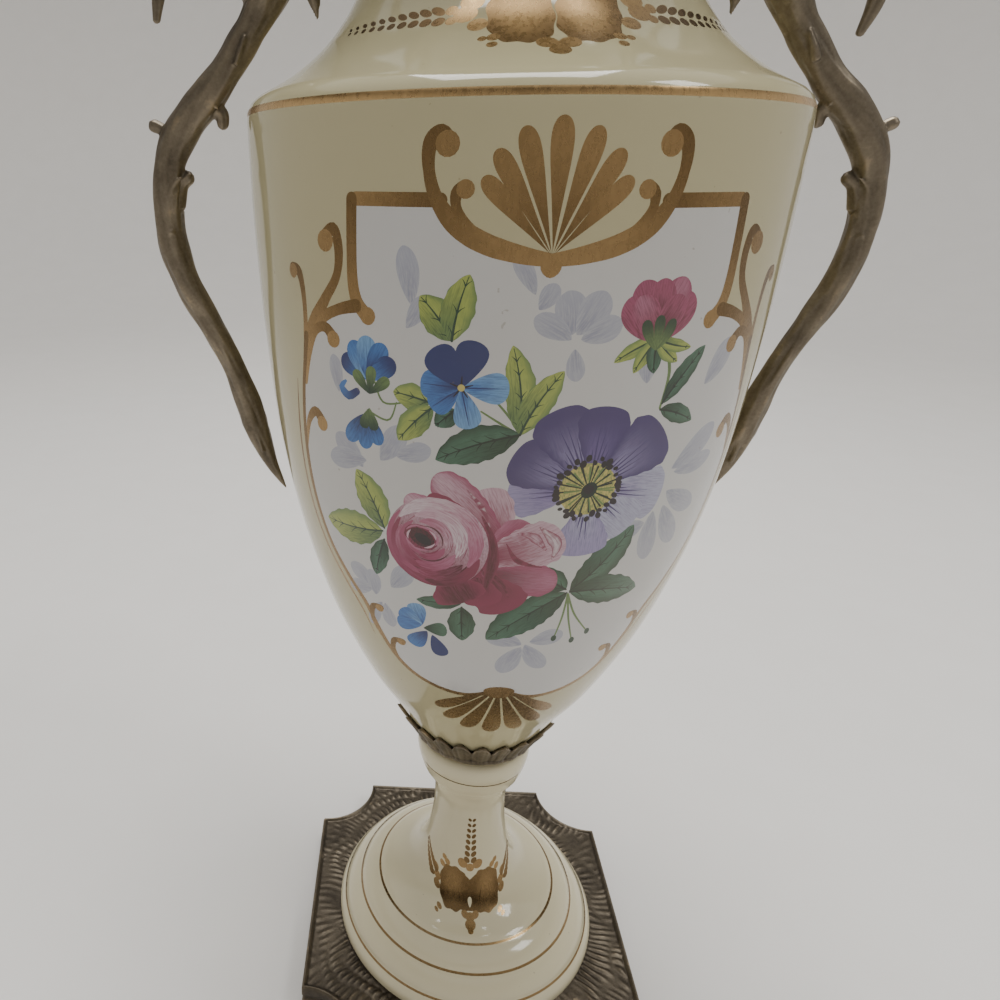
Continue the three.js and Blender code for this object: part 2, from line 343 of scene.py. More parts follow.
def branchGrid(path, widths, depth, columns=24):
    # a rounded section, depth times as thick as it is wide, carried along a path in the plane y = 0
    count = max(12, int(len(path) * 10))
    line = curveThrough(path, count)
    width = np.interp(np.linspace(0, 1, count), np.linspace(0, 1, len(widths)), widths)
    tangent = headings(line)
    cap = np.radians([25, 50, 75])[:, None]  # the free end is rounded off
    line = np.vstack([line, line[-1] + tangent[-1] * width[-1] * 0.9 * np.sin(cap)])
    width = np.concatenate([width, width[-1] * np.cos(cap[:, 0])])
    tangent = np.vstack([tangent, tangent[-1:].repeat(3, axis=0)])
    angle = np.arange(columns) * turn / columns
    across = width[:, None] * np.cos(angle)
    forward = width[:, None] * depth * np.sin(angle)
    x, z = line[:, :1] - tangent[:, 1:] * across, line[:, 1:] + tangent[:, :1] * across
    grid = np.stack([x, forward, z], axis=-1)
    ends = [np.repeat(g.mean(axis=0)[None, None], columns, axis=1) for g in (grid[0], grid[-1])]
    return np.concatenate([ends[0], grid, ends[1]])


def makeHandle(name, node, hook, side):
    # swept branches and raised rims, joined into one cast body; side is 1 on the right, -1 on the left
    branches = [(handle["stem"], handle["stemWidth"], 0.85), (hook, handle["hookWidth"], 0.8)]
    branches += list(handle["twigs"].values())
    lift = np.array([0, 0, plinth["height"]])
    points, faces, base = [], [], 0
    grids = [branchGrid(path, widths, depth) for path, widths, depth in branches]
    for path, half, out in handle["ridges"]:
        grids += [branchGrid(path, [half, half, 0.4 * half], 1, 12) + [0, side * out, 0] for side in (-1, 1)]
    for grid in grids:
        grid = grid + lift
        faces.append(gridFaces(*grid.shape[:2], base=base))
        points.append(grid.reshape(-1, 3))
        base += len(points[-1])
    acrossLug, throughLug, upLug = handle["lug"]
    points.append(np.array([(x, y, z) for x in acrossLug for y in throughLug for z in upLug]))
    block = [(0, 1, 3, 2), (4, 6, 7, 5), (0, 4, 5, 1), (2, 3, 7, 6), (0, 2, 6, 4), (1, 5, 7, 3)]
    faces.append(np.array(block) + base)
    piece = meshOf(name, np.vstack(points), np.vstack(faces))
    remesh = piece.modifiers.new("cast", "REMESH")
    remesh.mode = "VOXEL"
    remesh.voxel_size = handle["voxel"] * mm
    remesh.use_smooth_shade = True
    bakeModifiers(piece)
    barkRelief(piece, branches)
    low, high = (np.array(corner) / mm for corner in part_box(node))
    writePoints(piece.data, np.clip(readPoints(piece.data) * [side, side, 1], low, high))
    return piece


def bakeModifiers(piece):
    bpy.context.view_layer.update()
    shaped = bpy.data.meshes.new_from_object(piece.evaluated_get(bpy.context.evaluated_depsgraph_get()))
    old = piece.data
    piece.modifiers.clear()
    piece.data = shaped
    bpy.data.meshes.remove(old)


def readPoints(mesh):
    co = np.empty(len(mesh.vertices) * 3)
    mesh.vertices.foreach_get("co", co)
    return co.reshape(-1, 3) / mm


def writePoints(mesh, points):
    mesh.vertices.foreach_set("co", (np.asarray(points) * mm).ravel())
    mesh.update()


def barkRelief(piece, branches):
    # shallow furrows that wander lengthwise round each branch, and a slow unevenness in its thickness
    mesh = piece.data
    co = readPoints(mesh)
    normal = np.empty(len(co) * 3)
    mesh.vertices.foreach_get("normal", normal)
    normal = normal.reshape(-1, 3)
    best = np.full(len(co), 1e9)
    along, around, width = np.zeros(len(co)), np.zeros(len(co)), np.ones(len(co))
    for k, (path, widths, depth) in enumerate(branches):
        line = curveThrough(path, 160) + [0, plinth["height"]]
        wide = np.interp(np.linspace(0, 1, 160), np.linspace(0, 1, len(widths)), widths)
        step = np.linalg.norm(line[1] - line[0])
        tangent = headings(line)
        gap = (co[:, None, 0] - line[None, :, 0]) ** 2 + (co[:, None, 2] - line[None, :, 1]) ** 2
        near = gap.argmin(axis=1)
        far = np.sqrt(gap[np.arange(len(co)), near] + (co[:, 1] / depth) ** 2) / wide[near]
        offset = co[:, [0, 2]] - line[near]
        side = -offset[:, 0] * tangent[near, 1] + offset[:, 1] * tangent[near, 0]
        take = far < best
        best[take] = far[take]
        along[take] = (near * step + (offset * tangent[near]).sum(axis=1))[take] + 40 * k
        around[take] = np.arctan2(co[take, 1] / depth, side[take])
        width[take] = wide[near[take]]
    drift = 0.5 * np.sin(along / 9) + 0.3 * np.sin(along / 4.3 + 2)
    furrows = np.sin(4 * around + 2.4 * drift + 0.05 * along)
    furrows = furrows + 0.6 * np.sin(7 * around - 2.0 * drift - 0.09 * along)
    fine = np.sin(13 * around + 3 * drift) * np.sin(along * 0.5 + 2 * np.sin(2 * around))
    lumps = np.sin(along * 0.42 + 1.3 * np.sin(around)) + 0.7 * np.sin(along * 0.23 - 2 * around)
    depthMm = np.clip(width / 4, 0.2, 1) * (0.15 * furrows + 0.05 * fine + 0.12 * lumps)
    writePoints(mesh, co + normal * depthMm[:, None])
    height = mesh.attributes.new("height", "FLOAT", "POINT")
    height.data.foreach_set("value", (0.5 + 0.22 * furrows + 0.1 * fine).astype(np.float32))


# ---- materials ----

def linear(r, g, b):
    # an sRGB colour, 0 to 255, as the linear values that Blender works in
    c = np.array([r, g, b]) / 255
    return tuple(np.where(c <= 0.04045, c / 12.92, ((c + 0.055) / 1.055) ** 2.4)) + (1.0,)


class Nodes:
    # a short hand for building a material's node tree
    def __init__(self, name):
        self.material = bpy.data.materials.new(name)
        self.material.use_nodes = True
        self.tree = self.material.node_tree
        self.shader = self.tree.nodes["Principled BSDF"]

    def add(self, kind, inputs=None, **settings):
        node = self.tree.nodes.new(kind)
        for key, value in settings.items():
            setattr(node, key, value)
        for key, value in (inputs or {}).items():
            self.put(node.inputs[key], value)
        return node

    def put(self, socket, value):
        if isinstance(value, bpy.types.NodeSocket):
            self.tree.links.new(value, socket)
        else:
            socket.default_value = value

    def math(self, operation, a, b=0.0, clamp=False):
        return self.add("ShaderNodeMath", {0: a, 1: b}, operation=operation, use_clamp=clamp).outputs[0]

    def mix(self, factor, a, b):
        # the sockets of a colour mix lie at 0, 6 and 7
        node = self.add("ShaderNodeMix", data_type="RGBA")
        for socket, value in ((0, factor), (6, a), (7, b)):
            self.put(node.inputs[socket], value)
        return node.outputs[2]

    def noise(self, vector, scale, detail=3.0, rough=0.5):
        inputs = {"Vector": vector, "Scale": scale, "Detail": detail, "Roughness": rough}
        return self.add("ShaderNodeTexNoise", inputs).outputs[0]

    def range(self, value, low, high, outLow=0.0, outHigh=1.0):
        return self.add("ShaderNodeMapRange", {0: value, 1: low, 2: high, 3: outLow, 4: outHigh}).outputs[0]

    def attribute(self, name, output="Fac"):
        return self.add("ShaderNodeAttribute", attribute_name=name).outputs[output]

    def place(self, scale=(1, 1, 1)):
        # object coordinates, stretched
        coords = self.add("ShaderNodeTexCoord").outputs["Object"]
        return self.add("ShaderNodeMapping", {0: coords, 3: scale}).outputs[0]

    def bump(self, height, strength, distance):
        node = self.add("ShaderNodeBump", {"Height": height, "Strength": strength, "Distance": distance})
        self.put(self.shader.inputs["Normal"], node.outputs[0])

    def finish(self, **sockets):
        for key, value in sockets.items():
            self.put(self.shader.inputs[key.replace("_", " ")], value)
        return self.material


bronze = {
    "deep": linear(86, 78, 66), "mid": linear(134, 123, 105), "rubbed": linear(176, 156, 124),
    "plinthDeep": linear(56, 50, 42), "plinthMid": linear(100, 91, 77),
    "grain": 1300.0, "cloud": 90.0,
}


def bronzeMaterial(name, heightName=None, deep=bronze["deep"], mid=bronze["mid"]):
    # brown-grey patina in soft clouds, darker in the hollows, with rubbed spots where the cast stands high
    n = Nodes(name)
    place = n.place()
    cloud = n.noise(place, bronze["cloud"], 4, 0.6)
    grain = n.noise(place, bronze["grain"], 4, 0.6)
    pointy = n.add("ShaderNodeNewGeometry").outputs["Pointiness"]
    high = n.range(pointy, 0.47, 0.55)
    if heightName:
        stored = n.math("MULTIPLY", n.attribute(heightName), 0.55)
        high = n.math("ADD", stored, n.math("MULTIPLY", high, 0.45))
    clouded = n.math("MULTIPLY", n.range(cloud, 0.3, 0.7), 0.45)
    tone = n.math("ADD", n.math("MULTIPLY", high, 0.55), clouded)
    tone = n.math("ADD", tone, n.math("MULTIPLY", n.math("SUBTRACT", grain, 0.5), 0.5), clamp=True)
    base = n.mix(n.range(tone, 0.1, 0.75), deep, mid)
    warm = n.math("MULTIPLY", n.range(tone, 0.62, 0.95), n.range(n.noise(place, 240, 2, 0.5), 0.5, 0.7))
    colour = n.mix(n.math("MULTIPLY", warm, 0.8), base, bronze["rubbed"])
    n.bump(grain, 0.30, 0.00018)
    return n.finish(Base_Color=colour, Metallic=0.8, Roughness=n.range(cloud, 0.3, 0.7, 0.50, 0.38))


glaze = {
    # the vase's cream is a darker copy of footCream, the same glaze on the foot: painted shade on the belly
    "shadedCream": linear(184, 176, 140), "footCream": linear(222, 213, 180),
    # band is the line gold made far brighter for the vase's shoulder line: a painted highlight where the
    # light catches the rounded shoulder
    "line": linear(146, 121, 84), "band": linear(226, 190, 136), "wornGold": linear(92, 74, 50),
    "cloud": linear(186, 172, 138), "speck": linear(120, 104, 78),
    "footLines": [(26.2, 0.42), (17.3, 0.42), (8.0, 0.42), (1.6, 0.5), (93.2, 0.25)],  # rise, half width
    "vaseLines": [(207.3, 0.85)], "soft": 0.06,
}


def glazeMaterial(name, lines, lineColour):
    # one glossy skin: glaze and enamels streaked along each brush stroke, brushed gold where gilt is 1,
    # and gold lines running round at (rise, half width) in mm up along the profile
    n = Nodes(name)
    paintNode = n.add("ShaderNodeAttribute", attribute_name="paint")
    deepNode = n.add("ShaderNodeAttribute", attribute_name="deep")
    band = 0.0
    rise = n.attribute("rise")
    for level, half in lines:
        away = n.math("ABSOLUTE", n.math("SUBTRACT", rise, level))
        band = n.math("MAXIMUM", band, n.range(away, half + glaze["soft"], half - glaze["soft"]))
    gilt = n.math("MAXIMUM", paintNode.outputs["Alpha"], band)
    streak = n.noise(n.attribute("stroke", "Vector"), 3.0, 3, 0.6)
    streak = n.math("MULTIPLY", n.range(streak, 0.42, 0.66), deepNode.outputs["Alpha"], clamp=True)
    enamelled = n.mix(streak, paintNode.outputs["Color"], deepNode.outputs["Color"])
    place = n.place()
    cloud = n.noise(place, 18, 3, 0.5)
    enamelled = n.mix(n.range(cloud, 0.35, 0.7, 0.0, 0.10), enamelled, glaze["cloud"])
    speck = n.range(n.noise(place, 700, 1, 0.3), 0.80, 0.83)
    enamelled = n.mix(n.math("MULTIPLY", speck, 0.35), enamelled, glaze["speck"])
    brushed = n.noise(n.place((1, 1, 0.5)), 900, 3, 0.6)
    worn = n.math("ADD", n.math("MULTIPLY", cloud, 0.7), n.math("MULTIPLY", brushed, 0.3))
    gold = n.mix(band, paintNode.outputs["Color"], lineColour)
    gold = n.mix(n.range(worn, 0.62, 0.38, 0.0, 0.35), gold, glaze["wornGold"])
    colour = n.mix(gilt, enamelled, gold)
    goldRough = n.math("MULTIPLY", gilt, n.range(brushed, 0.3, 0.7, 0.16, 0.24))
    rough = n.math("ADD", n.range(cloud, 0.3, 0.7, 0.06, 0.10), goldRough)
    n.bump(n.noise(place, 45, 2, 0.4), 0.10, 0.0006)
    return n.finish(Base_Color=colour, Metallic=gilt, Roughness=rough)


# ---- painting ----

paint = {"reach": 60, "row": 2.2, "start": -turn / 4, "margin": 0.05, "brushStep": 0.55}


class Artwork:
    # flat shapes, later ones over earlier ones, in mm: across from the front line, and up along the surface
    def __init__(self, profile, facing=0.0):
        self.profile = profile
        self.up = lengths(profile)
        self.facing = facing
        self.shapes = []
        self.seed = 0

    def flat(self, points):
        # artwork points as (angle times reach, up)
        radius = np.interp(points[:, 1], self.up, self.profile[:, 0])
        low = paint["start"] + paint["margin"]
        high = paint["start"] + turn - paint["margin"]
        angle = np.clip(self.facing + points[:, 0] / radius, low, high)
        return np.stack([angle * paint["reach"], points[:, 1]], axis=1)

    def real(self, flat):
        # the way back from flat
        radius = np.interp(flat[:, 1], self.up, self.profile[:, 0])
        return np.stack([(flat[:, 0] / paint["reach"] - self.facing) * radius, flat[:, 1]], axis=1)

    def field(self, outline, colour, gilt=0.0, inner=(), deep=None, streak=0.0, far=None, fade=0.0,
            heart=None):
        # a shape with any outline, whose colour runs to far in the direction fade, in degrees, or to heart
        # inside it
        outline = np.asarray(outline, float)
        self.seed += 1
        seed = self.seed
        colour = pigment(colour)
        deep = pigment(deep, colour)
        far = pigment(far, colour)
        way = oval(np.radians(fade))
        first, last = (outline @ way).min(), (outline @ way).max()

        def tone(points):
            ones = np.ones(len(points))[:, None]
            strokes = np.column_stack([points[:, 0], points[:, 1] * 0.4, seed * 7.3 * ones[:, 0]])
            share = ramp(points @ way, first, last)[:, None]
            shade = np.array(colour[:3]) * (1 - share) + np.array(far[:3]) * share
            if heart is not None:
                middle = outline.mean(axis=0)
                away = np.linalg.norm((points - middle) / np.ptp(outline, axis=0), axis=1)[:, None]
                shade = shade + (np.array(pigment(heart)[:3]) - shade) * (1 - ramp(away, 0.12, 0.48))
            return shade, np.hstack([ones * deep[:3], ones * streak]), strokes

        inner = [self.flat(np.asarray(p, float)) for p in inner]
        self.shapes.append((self.flat(outline), inner, tone, gilt, self))

    def brush(self, path, widths, root, tip=None, edge=None, deep=None, streak=0.0, gilt=0.0, sides=(1, 1),
              smooth=True, fill=True, ragged=0.0):
        # a stroke of half width widths along path; colour runs from root to tip, and to edge at its two sides
        root = pigment(root)
        tip, edge, deep = (pigment(colour, root) for colour in (tip, edge, deep))
        edgeShare = 0.0 if edge is root else 1.0
        path = np.asarray(path, float)
        total = np.linalg.norm(np.diff(path, axis=0), axis=1).sum()
        count = int(np.clip(total / paint["brushStep"], 7, 90))
        fine = curveThrough(path, 300) if smooth else evenly(cornered(path, 0.4), 300)
        share = (1 - np.cos(np.linspace(0, np.pi, count))) / 2  # closer together at both ends
        axis = np.stack([np.interp(share, np.linspace(0, 1, 300), fine[:, k]) for k in (0, 1)], axis=1)
        half = np.interp(share, np.linspace(0, 1, len(widths)), widths)
        half = np.maximum(half * (1 + ragged * np.sin(share * total * 1.9 + 2.3 * self.seed)), 0.02)
        along = headings(axis, 1e-9)
        across = np.stack([-along[:, 1], along[:, 0]], axis=1)
        left = axis + across * (half * sides[0])[:, None]
        right = axis - across * (half * sides[1])[:, None]
        cap = np.radians(np.linspace(0, 180, 9))[1:-1]
        ends = []
        for k, way in ((-1, 1), (0, -1)):  # a round cap where the stroke ends broad
            turned = np.outer(np.cos(cap), across[k]) + np.outer(np.sin(cap), along[k])
            ends.append([axis[k] + way * half[k] * turned] if half[k] > 0.15 else [])
        outline = np.vstack([left, *ends[0], right[::-1], *ends[1]])
        inner = []
        if fill and half.max() > 0.8:
            inner = [axis[1:-1:2] + across[1:-1:2] * (k * half[1:-1:2])[:, None]
                     for k in (0, -0.62 * sides[1], 0.62 * sides[0])]
        self.seed += 1
        seed = self.seed

        def tone(points):
            gap = ((points[:, None] - axis[None]) ** 2).sum(axis=2)
            near = gap.argmin(axis=1)
            u = share[near]
            offset = points - axis[near]
            v = (offset * across[near]).sum(axis=1)
            side = np.clip(np.abs(v) / (half[near] + 0.05), 0, 1)
            colour = root[:3] + (np.array(tip[:3]) - root[:3]) * ramp(u, 0.05, 0.95)[:, None]
            colour = colour + (np.array(edge[:3]) - colour) * (edgeShare * ramp(side, 0.35, 1.0))[:, None]
            strokes = np.column_stack([u * total * 0.12, v * 1.1, np.full(len(v), seed * 7.3)])
            amount = streak * (1 - 0.6 * u)
            return colour, np.column_stack([np.ones((len(v), 1)) * deep[:3], amount]), strokes

        self.shapes.append((self.flat(outline), [self.flat(p) for p in inner], tone, gilt, self))

    def petal(self, place, direction, length, width, root, tip=None, form=(0.8, 4, 0.5), bend=0.0,
            start=0.0, **look):
        # a brush whose half width is t^a (1 - t^k)^b, from its root at place out along direction, in degrees
        t = (1 - np.cos(np.linspace(0, np.pi, 19))) / 2
        angle = np.radians(direction + bend * (t - 0.5))
        steps = np.diff(t, prepend=0) * (length - start)
        path = np.asarray(place) + start * oval(angle[0]) + np.cumsum(oval(angle, steps, steps), axis=0)
        fine = np.linspace(0, 1, 400)
        swell = fine ** form[0] * (1 - fine ** form[1]) ** form[2]
        self.brush(path, width / 2 * swell / swell.max(), root, tip, **look)
        return path

    def dot(self, x, y, radius, colour, gilt=0.0, stretch=1.0, lean=0.0, **look):
        ring = oval(np.arange(14) * turn / 14, radius * stretch, radius)
        self.field(rotated(ring, np.radians(lean)) + [x, y], colour, gilt, **look)

    def line(self, path, widths, colour, **look):
        # a thin stroke
        self.brush(path, widths, colour, fill=False, **look)

    def petals(self, rows, **look):
        # rows of place, direction, length, width, root and tip
        for row in rows:
            self.petal(*row, **look)

    def leaf(self, place, direction, length, width, tones, bend=0.0, veins=4, form=(0.75, 1, 0.8)):
        # a blade with its shaded half, a midrib and side veins; tones are light, dark and vein
        light, dark, vein = tones
        path = self.petal(place, direction, length, width, light, form=form, bend=bend, edge=dark, deep=dark,
                          streak=0.55, ragged=0.05)
        self.petal(place, direction, length, width, dark, light, form=form, bend=bend, deep=vein, streak=0.7,
                   sides=(0.96, 0.02))
        self.line(path[:-2], [0.28, 0.2, 0.08], vein)
        for k in range(veins):
            share = 0.22 + 0.55 * k / max(veins - 1, 1)
            root = path[int(share * (len(path) - 1))]
            reach = 0.42 * width * (1 - 0.55 * share)
            for side in (-1, 1):
                out = oval(np.radians(direction + side * 38))
                end = root + reach * out
                middle = (root + end) / 2 + 0.08 * reach * side * np.array([out[1], -out[0]])
                self.line([root, middle, end], [0.14, 0.11, 0.03], vein)


def insideOutline(points, outline):
    # even and odd crossings of a ray to the right
    a, b = outline, np.roll(outline, -1, axis=0)
    x, y = points[:, :1], points[:, 1:]
    cross = (a[None, :, 1] > y) != (b[None, :, 1] > y)
    slope = (b[:, 0] - a[:, 0]) / (b[:, 1] - a[:, 1] + 1e-12)
    at = a[None, :, 0] + (y - a[None, :, 1]) * slope[None]
    return ((cross & (x < at)).sum(axis=1) % 2).astype(bool)


def cutFlat(shapes, across, level):
    # triangles over the flat skin, cut along every outline
    points, edges = [np.stack(np.meshgrid(across, level), axis=-1).reshape(-1, 2)], []
    total = len(points[0])
    for outline, inner, *_ in shapes:
        index = np.arange(len(outline)) + total
        edges += list(zip(index.tolist(), np.roll(index, -1).tolist()))
        points += [outline] + inner
        total += len(outline) + sum(len(p) for p in inner)
    spots = [Vector(p) for p in np.vstack(points)]
    flat, _, faces, _, _, _ = delaunay_2d_cdt(spots, edges, [], 0, 1e-4, False)
    flat = np.array([tuple(p) for p in flat])
    flat[:, 1] = np.clip(flat[:, 1], 0, level[-1])
    return flat, np.array(faces)


def cornerColours(corner, shapes, ground):
    # each triangle takes its colours from the last shape that holds its middle
    middle = corner.mean(axis=1)
    owner = np.full(len(corner), -1)
    for k, (outline, *_) in enumerate(shapes):
        low, high = outline.min(axis=0), outline.max(axis=0)
        near = np.flatnonzero(((middle > low) & (middle < high)).all(axis=1))
        owner[near[insideOutline(middle[near], outline)]] = k
    colours = np.ones((len(corner), 3, 4)) * [*ground[:3], 0]
    deeps = colours.copy()
    strokes = np.zeros((len(corner), 3, 3))
    for k, (_, _, tone, gilt, art) in enumerate(shapes):
        mine = np.flatnonzero(owner == k)
        if len(mine):
            colour, deep, stroke = tone(art.real(corner[mine].reshape(-1, 2)))
            colours[mine, :, :3] = np.clip(colour, 0, 1).reshape(-1, 3, 3)
            colours[mine, :, 3] = gilt
            deeps[mine] = deep.reshape(-1, 3, 4)
            strokes[mine] = stroke.reshape(-1, 3, 3)
    return colours, deeps, strokes


def around(radius, angle, height):
    # points round the upright axis, the angle counted from the front
    return np.stack([radius * np.sin(angle), -radius * np.cos(angle), height * np.ones_like(angle)], axis=-1)


def paintedTurning(name, outside, strips, columns, shapes, ground):
    # the outside is cut along every painted outline, so colours meet in clean edges on one smooth skin;
    # strips are the plain profiles that close it, each starting on one of its two rims
    up = lengths(outside)
    across = (paint["start"] + np.arange(columns + 1) * turn / columns) * paint["reach"]
    flat, faces = cutFlat(shapes, across, np.linspace(0, up[-1], int(up[-1] / paint["row"]) + 1))
    corner = flat[faces]
    colours, deeps, strokes = cornerColours(corner, shapes, ground)
    radius, height = (np.interp(flat[:, 1], up, outside[:, k]) for k in (0, 1))
    blocks, quads, base = [around(radius, flat[:, 0] / paint["reach"], height)], [], len(flat)
    for strip in strips:
        quads.append(gridFaces(len(strip), columns, base))
        blocks.append(around(strip[:, :1], across[:-1] / paint["reach"], strip[:, 1:]).reshape(-1, 3))
        base += len(blocks[-1])
    mesh = bpy.data.meshes.new(name)
    mesh.from_pydata((np.vstack(blocks) * mm).tolist(), [], faces.tolist() + np.vstack(quads).tolist())
    plain = [*ground[:3], 0]
    fillAttribute(mesh, "paint", "FLOAT_COLOR", "color", colours, plain)
    fillAttribute(mesh, "deep", "FLOAT_COLOR", "color", deeps, plain)
    fillAttribute(mesh, "stroke", "FLOAT_VECTOR", "vector", strokes, [0, 0, 0])
    fillAttribute(mesh, "rise", "FLOAT", "value", corner[..., 1], [-1])
    clean(mesh, 2e-7)
    setSmoothNormals(mesh, outside, up)
    return placed(name, mesh)


def fillAttribute(mesh, name, kind, field, values, plain):
    # values at the corners of the cut skin, and the plain one at those of the closing strips
    values = values.reshape(-1, len(plain))
    rest = np.tile(plain, (len(mesh.loops) - len(values), 1))
    layer = mesh.attributes.new(name, kind, "CORNER")
    layer.data.foreach_set(field, np.vstack([values, rest]).astype(np.float32).ravel())


def setSmoothNormals(mesh, outside, up):
    # the skin takes its normals from the profile, so the cuts leave no mark in the gloss
    slope = headings(outside)
    rise = np.empty(len(mesh.loops), np.float32)
    mesh.attributes["rise"].data.foreach_get("value", rise)
    corner = np.empty(len(mesh.loops), np.int32)
    mesh.loops.foreach_get("vertex_index", corner)
    points = readPoints(mesh)[corner]
    angle = np.arctan2(points[:, 0], -points[:, 1])
    outward = np.interp(rise, up, slope[:, 1])
    upward = -np.interp(rise, up, slope[:, 0])
    normal = np.column_stack([outward * np.sin(angle), -outward * np.cos(angle), upward])
    normal[rise < 0] = 0
    mesh.normals_split_custom_set(normal.tolist())


# ---- decoration ----

gilding = {"centre": 0.5}  # the panel's centre line lies this far right of the front


def shadedEnamel(r, g, b):
    # an enamel a little deeper than the pure pigment, its sRGB values times 0.87: painted shade, standing in
    # for the shade the painted belly lies in
    return linear(0.87 * r, 0.87 * g, 0.87 * b)


# the enamels below, the white ground among them, are deepened as painted shade
enamel = {
    # gold and shade are darker than bright gilding: a painted dark reflection, standing in for the dim room
    # the gold mirrors
    "gold": linear(160, 132, 92), "shade": linear(122, 99, 68), "white": shadedEnamel(229, 228, 226),
    "mist": shadedEnamel(190, 192, 206), "mistDeep": shadedEnamel(168, 171, 190),
    "petalWhite": shadedEnamel(236, 220, 228), "blush": shadedEnamel(222, 186, 202), "pink": shadedEnamel(196, 120, 152),
    "rosy": shadedEnamel(178, 84, 122), "crimson": shadedEnamel(148, 46, 84),
    "maroon": shadedEnamel(92, 22, 44), "ink": shadedEnamel(34, 24, 36),
    "violet": shadedEnamel(132, 112, 174), "violetDeep": shadedEnamel(78, 62, 122), "violetPale": shadedEnamel(172, 162, 206),
    "lilac": shadedEnamel(196, 196, 222),
    "navy": shadedEnamel(38, 52, 118), "blue": shadedEnamel(72, 132, 208), "sky": shadedEnamel(128, 180, 232),
    "leafLight": shadedEnamel(186, 200, 98), "leafMid": shadedEnamel(116, 146, 84), "leafDark": shadedEnamel(38, 72, 52),
    "leafDeep": shadedEnamel(22, 44, 36), "teal": shadedEnamel(76, 122, 96), "straw": shadedEnamel(226, 208, 120),
}


def pigment(colour, other=None):
    # a colour given by its name or as it is; other stands in for none
    colour = other if colour is None else colour
    return enamel[colour] if isinstance(colour, str) else colour


def goldStroke(art, path, widths, **look):
    art.line(path, widths, "shade", tip="gold", gilt=1.0, **look)


def goldDot(art, place, radius, **look):
    art.dot(place[0], place[1], radius, "gold", gilt=1.0, **look)


sideLine = [(57.6, 158), (58.6, 152), (60, 144), (60.8, 133), (60.2, 122), (57.8, 111), (53.2, 100),
        (46.5, 90.5), (40.5, 83), (36, 74), (31, 65.5), (25, 59.2), (17, 55.2), (9, 54), (2.5, 56.5)]
cScroll = [(20.6, 198.4), (22.2, 200.4), (24.3, 198.8), (24.6, 194.5), (23, 189), (19, 184), (13, 180.6),
           (6, 178.6), (0, 177.6)]


def paintReserve(art):
    # the white ground inside the gold frame
    scroll = curveThrough(cScroll[3:], 30)
    corner = [(23, 188.5), (42.2, 188.5), (42, 172), (41, 167), (46, 165.2), (51, 162.8), (55.4, 158.6)]
    right = np.vstack([scroll[scroll[:, 1] < 188][::-1], corner, curveThrough(sideLine, 70)])
    left = right[::-1] * [-1, 1]
    outline = np.vstack([right, left]) + [gilding["centre"], 0]
    art.field(outline, "white")


frameStrokes = [  # path, half widths, and the place and radius of the gold ball that ends the stroke
    ([(41.9, 188.5), (42.0, 180), (41.8, 172), (40.6, 167.4), (37.8, 164.4)], [1.35, 1.35, 1.35, 1.5, 1.7],
     (37.9, 164.7, 2.0)),
    (cScroll, [1.6, 1.5, 1.2, 1.4, 1.9, 2.1, 2.0, 1.7, 1.3], (21, 198.5, 2.4)),
    ([(17.3, 190.8), (18.9, 189.6), (18.6, 186.6), (15.4, 183), (11, 181)], [1.5, 1.0, 0.95, 0.9, 0.5],
     (17.2, 190.5, 1.8)),
    ([(49.6, 180.6), (47, 182.2), (45.6, 178), (46.4, 172.5), (50.2, 167), (54.8, 160.5), (57.4, 153.5),
      (58.8, 146)], [1.6, 1.3, 1.1, 1.3, 1.8, 2.0, 1.4, 0.7], (49.6, 179.8, 2.4)),
    ([(41, 166.6), (46, 165.3), (51, 162.8), (55, 158)], [1.5, 1.25, 1.3, 0.8], None),
    ([(47.6, 158.4), (50.4, 160.8), (54, 159.4), (57, 154)], [1.6, 1.2, 1.1, 0.7], (47.8, 158.3, 2.0)),
    ([(61.8, 173), (59.4, 172.4), (58, 168), (57.6, 161), (58.4, 153)], [1.4, 1.0, 0.8, 0.9, 0.5],
     (61.8, 172.4, 1.7)),
    ([(52.6, 136.6), (55.4, 139), (58.6, 135.6), (60.4, 128)], [1.6, 1.2, 0.8, 0.4], (52.9, 136.3, 2.0)),
    (sideLine, [0.9, 0.7, 0.7, 0.75, 0.75, 0.7, 0.7, 0.75, 0.8, 0.85, 0.8, 0.8, 0.75, 0.8, 1.0], None),
    ([(62.9, 146), (63.6, 133), (63, 121), (60.4, 109.5), (55.6, 98.5), (48.8, 88.8), (42, 79.5), (37.6, 70)],
     [0.1, 0.4, 0.4, 0.4, 0.4, 0.4, 0.4, 0.1], None),
    ([(35.2, 83.4), (37.8, 82.6), (38, 77.5), (35.4, 71.5)], [1.2, 0.9, 0.8, 0.4], (35.5, 83, 1.4)),
    ([(28.2, 72.4), (30.8, 71.6), (31, 67), (28.4, 62)], [1.2, 0.9, 0.8, 0.4], (28.5, 72, 1.4)),
]


def paintFrame(art):
    # the same strokes on both sides of the centre line, then the palmette above and the shell below
    centre = gilding["centre"]
    for side in (1, -1):
        goldStroke(art, [(centre + side * x, 188.5) for x in (22, 40.8)], [1.4, 1.4], smooth=False)
        for path, widths, ball in frameStrokes:
            goldStroke(art, [(centre + side * x, y) for x, y in path], widths)
            if ball:
                goldDot(art, (centre + side * ball[0], ball[1]), ball[2])
    fan(art, (centre, 178.4), 90, [(0, 24.8), (16.5, 24), (31.5, 22.4), (44.5, 20)], 4.3)
    art.petal((centre, 178.6), 270, 4.4, 4.2, "gold", form=(0.3, 2, 0.6), gilt=1.0, fill=False)
    fan(art, (centre, 60), 270, [(0, 29.5), (15.5, 28.6), (31, 26.6), (46, 23.6)], 5.3)
    art.petal((centre, 53.5), 90, 6.2, 8.6, "gold", form=(0.4, 3, 0.5), gilt=1.0, fill=False)


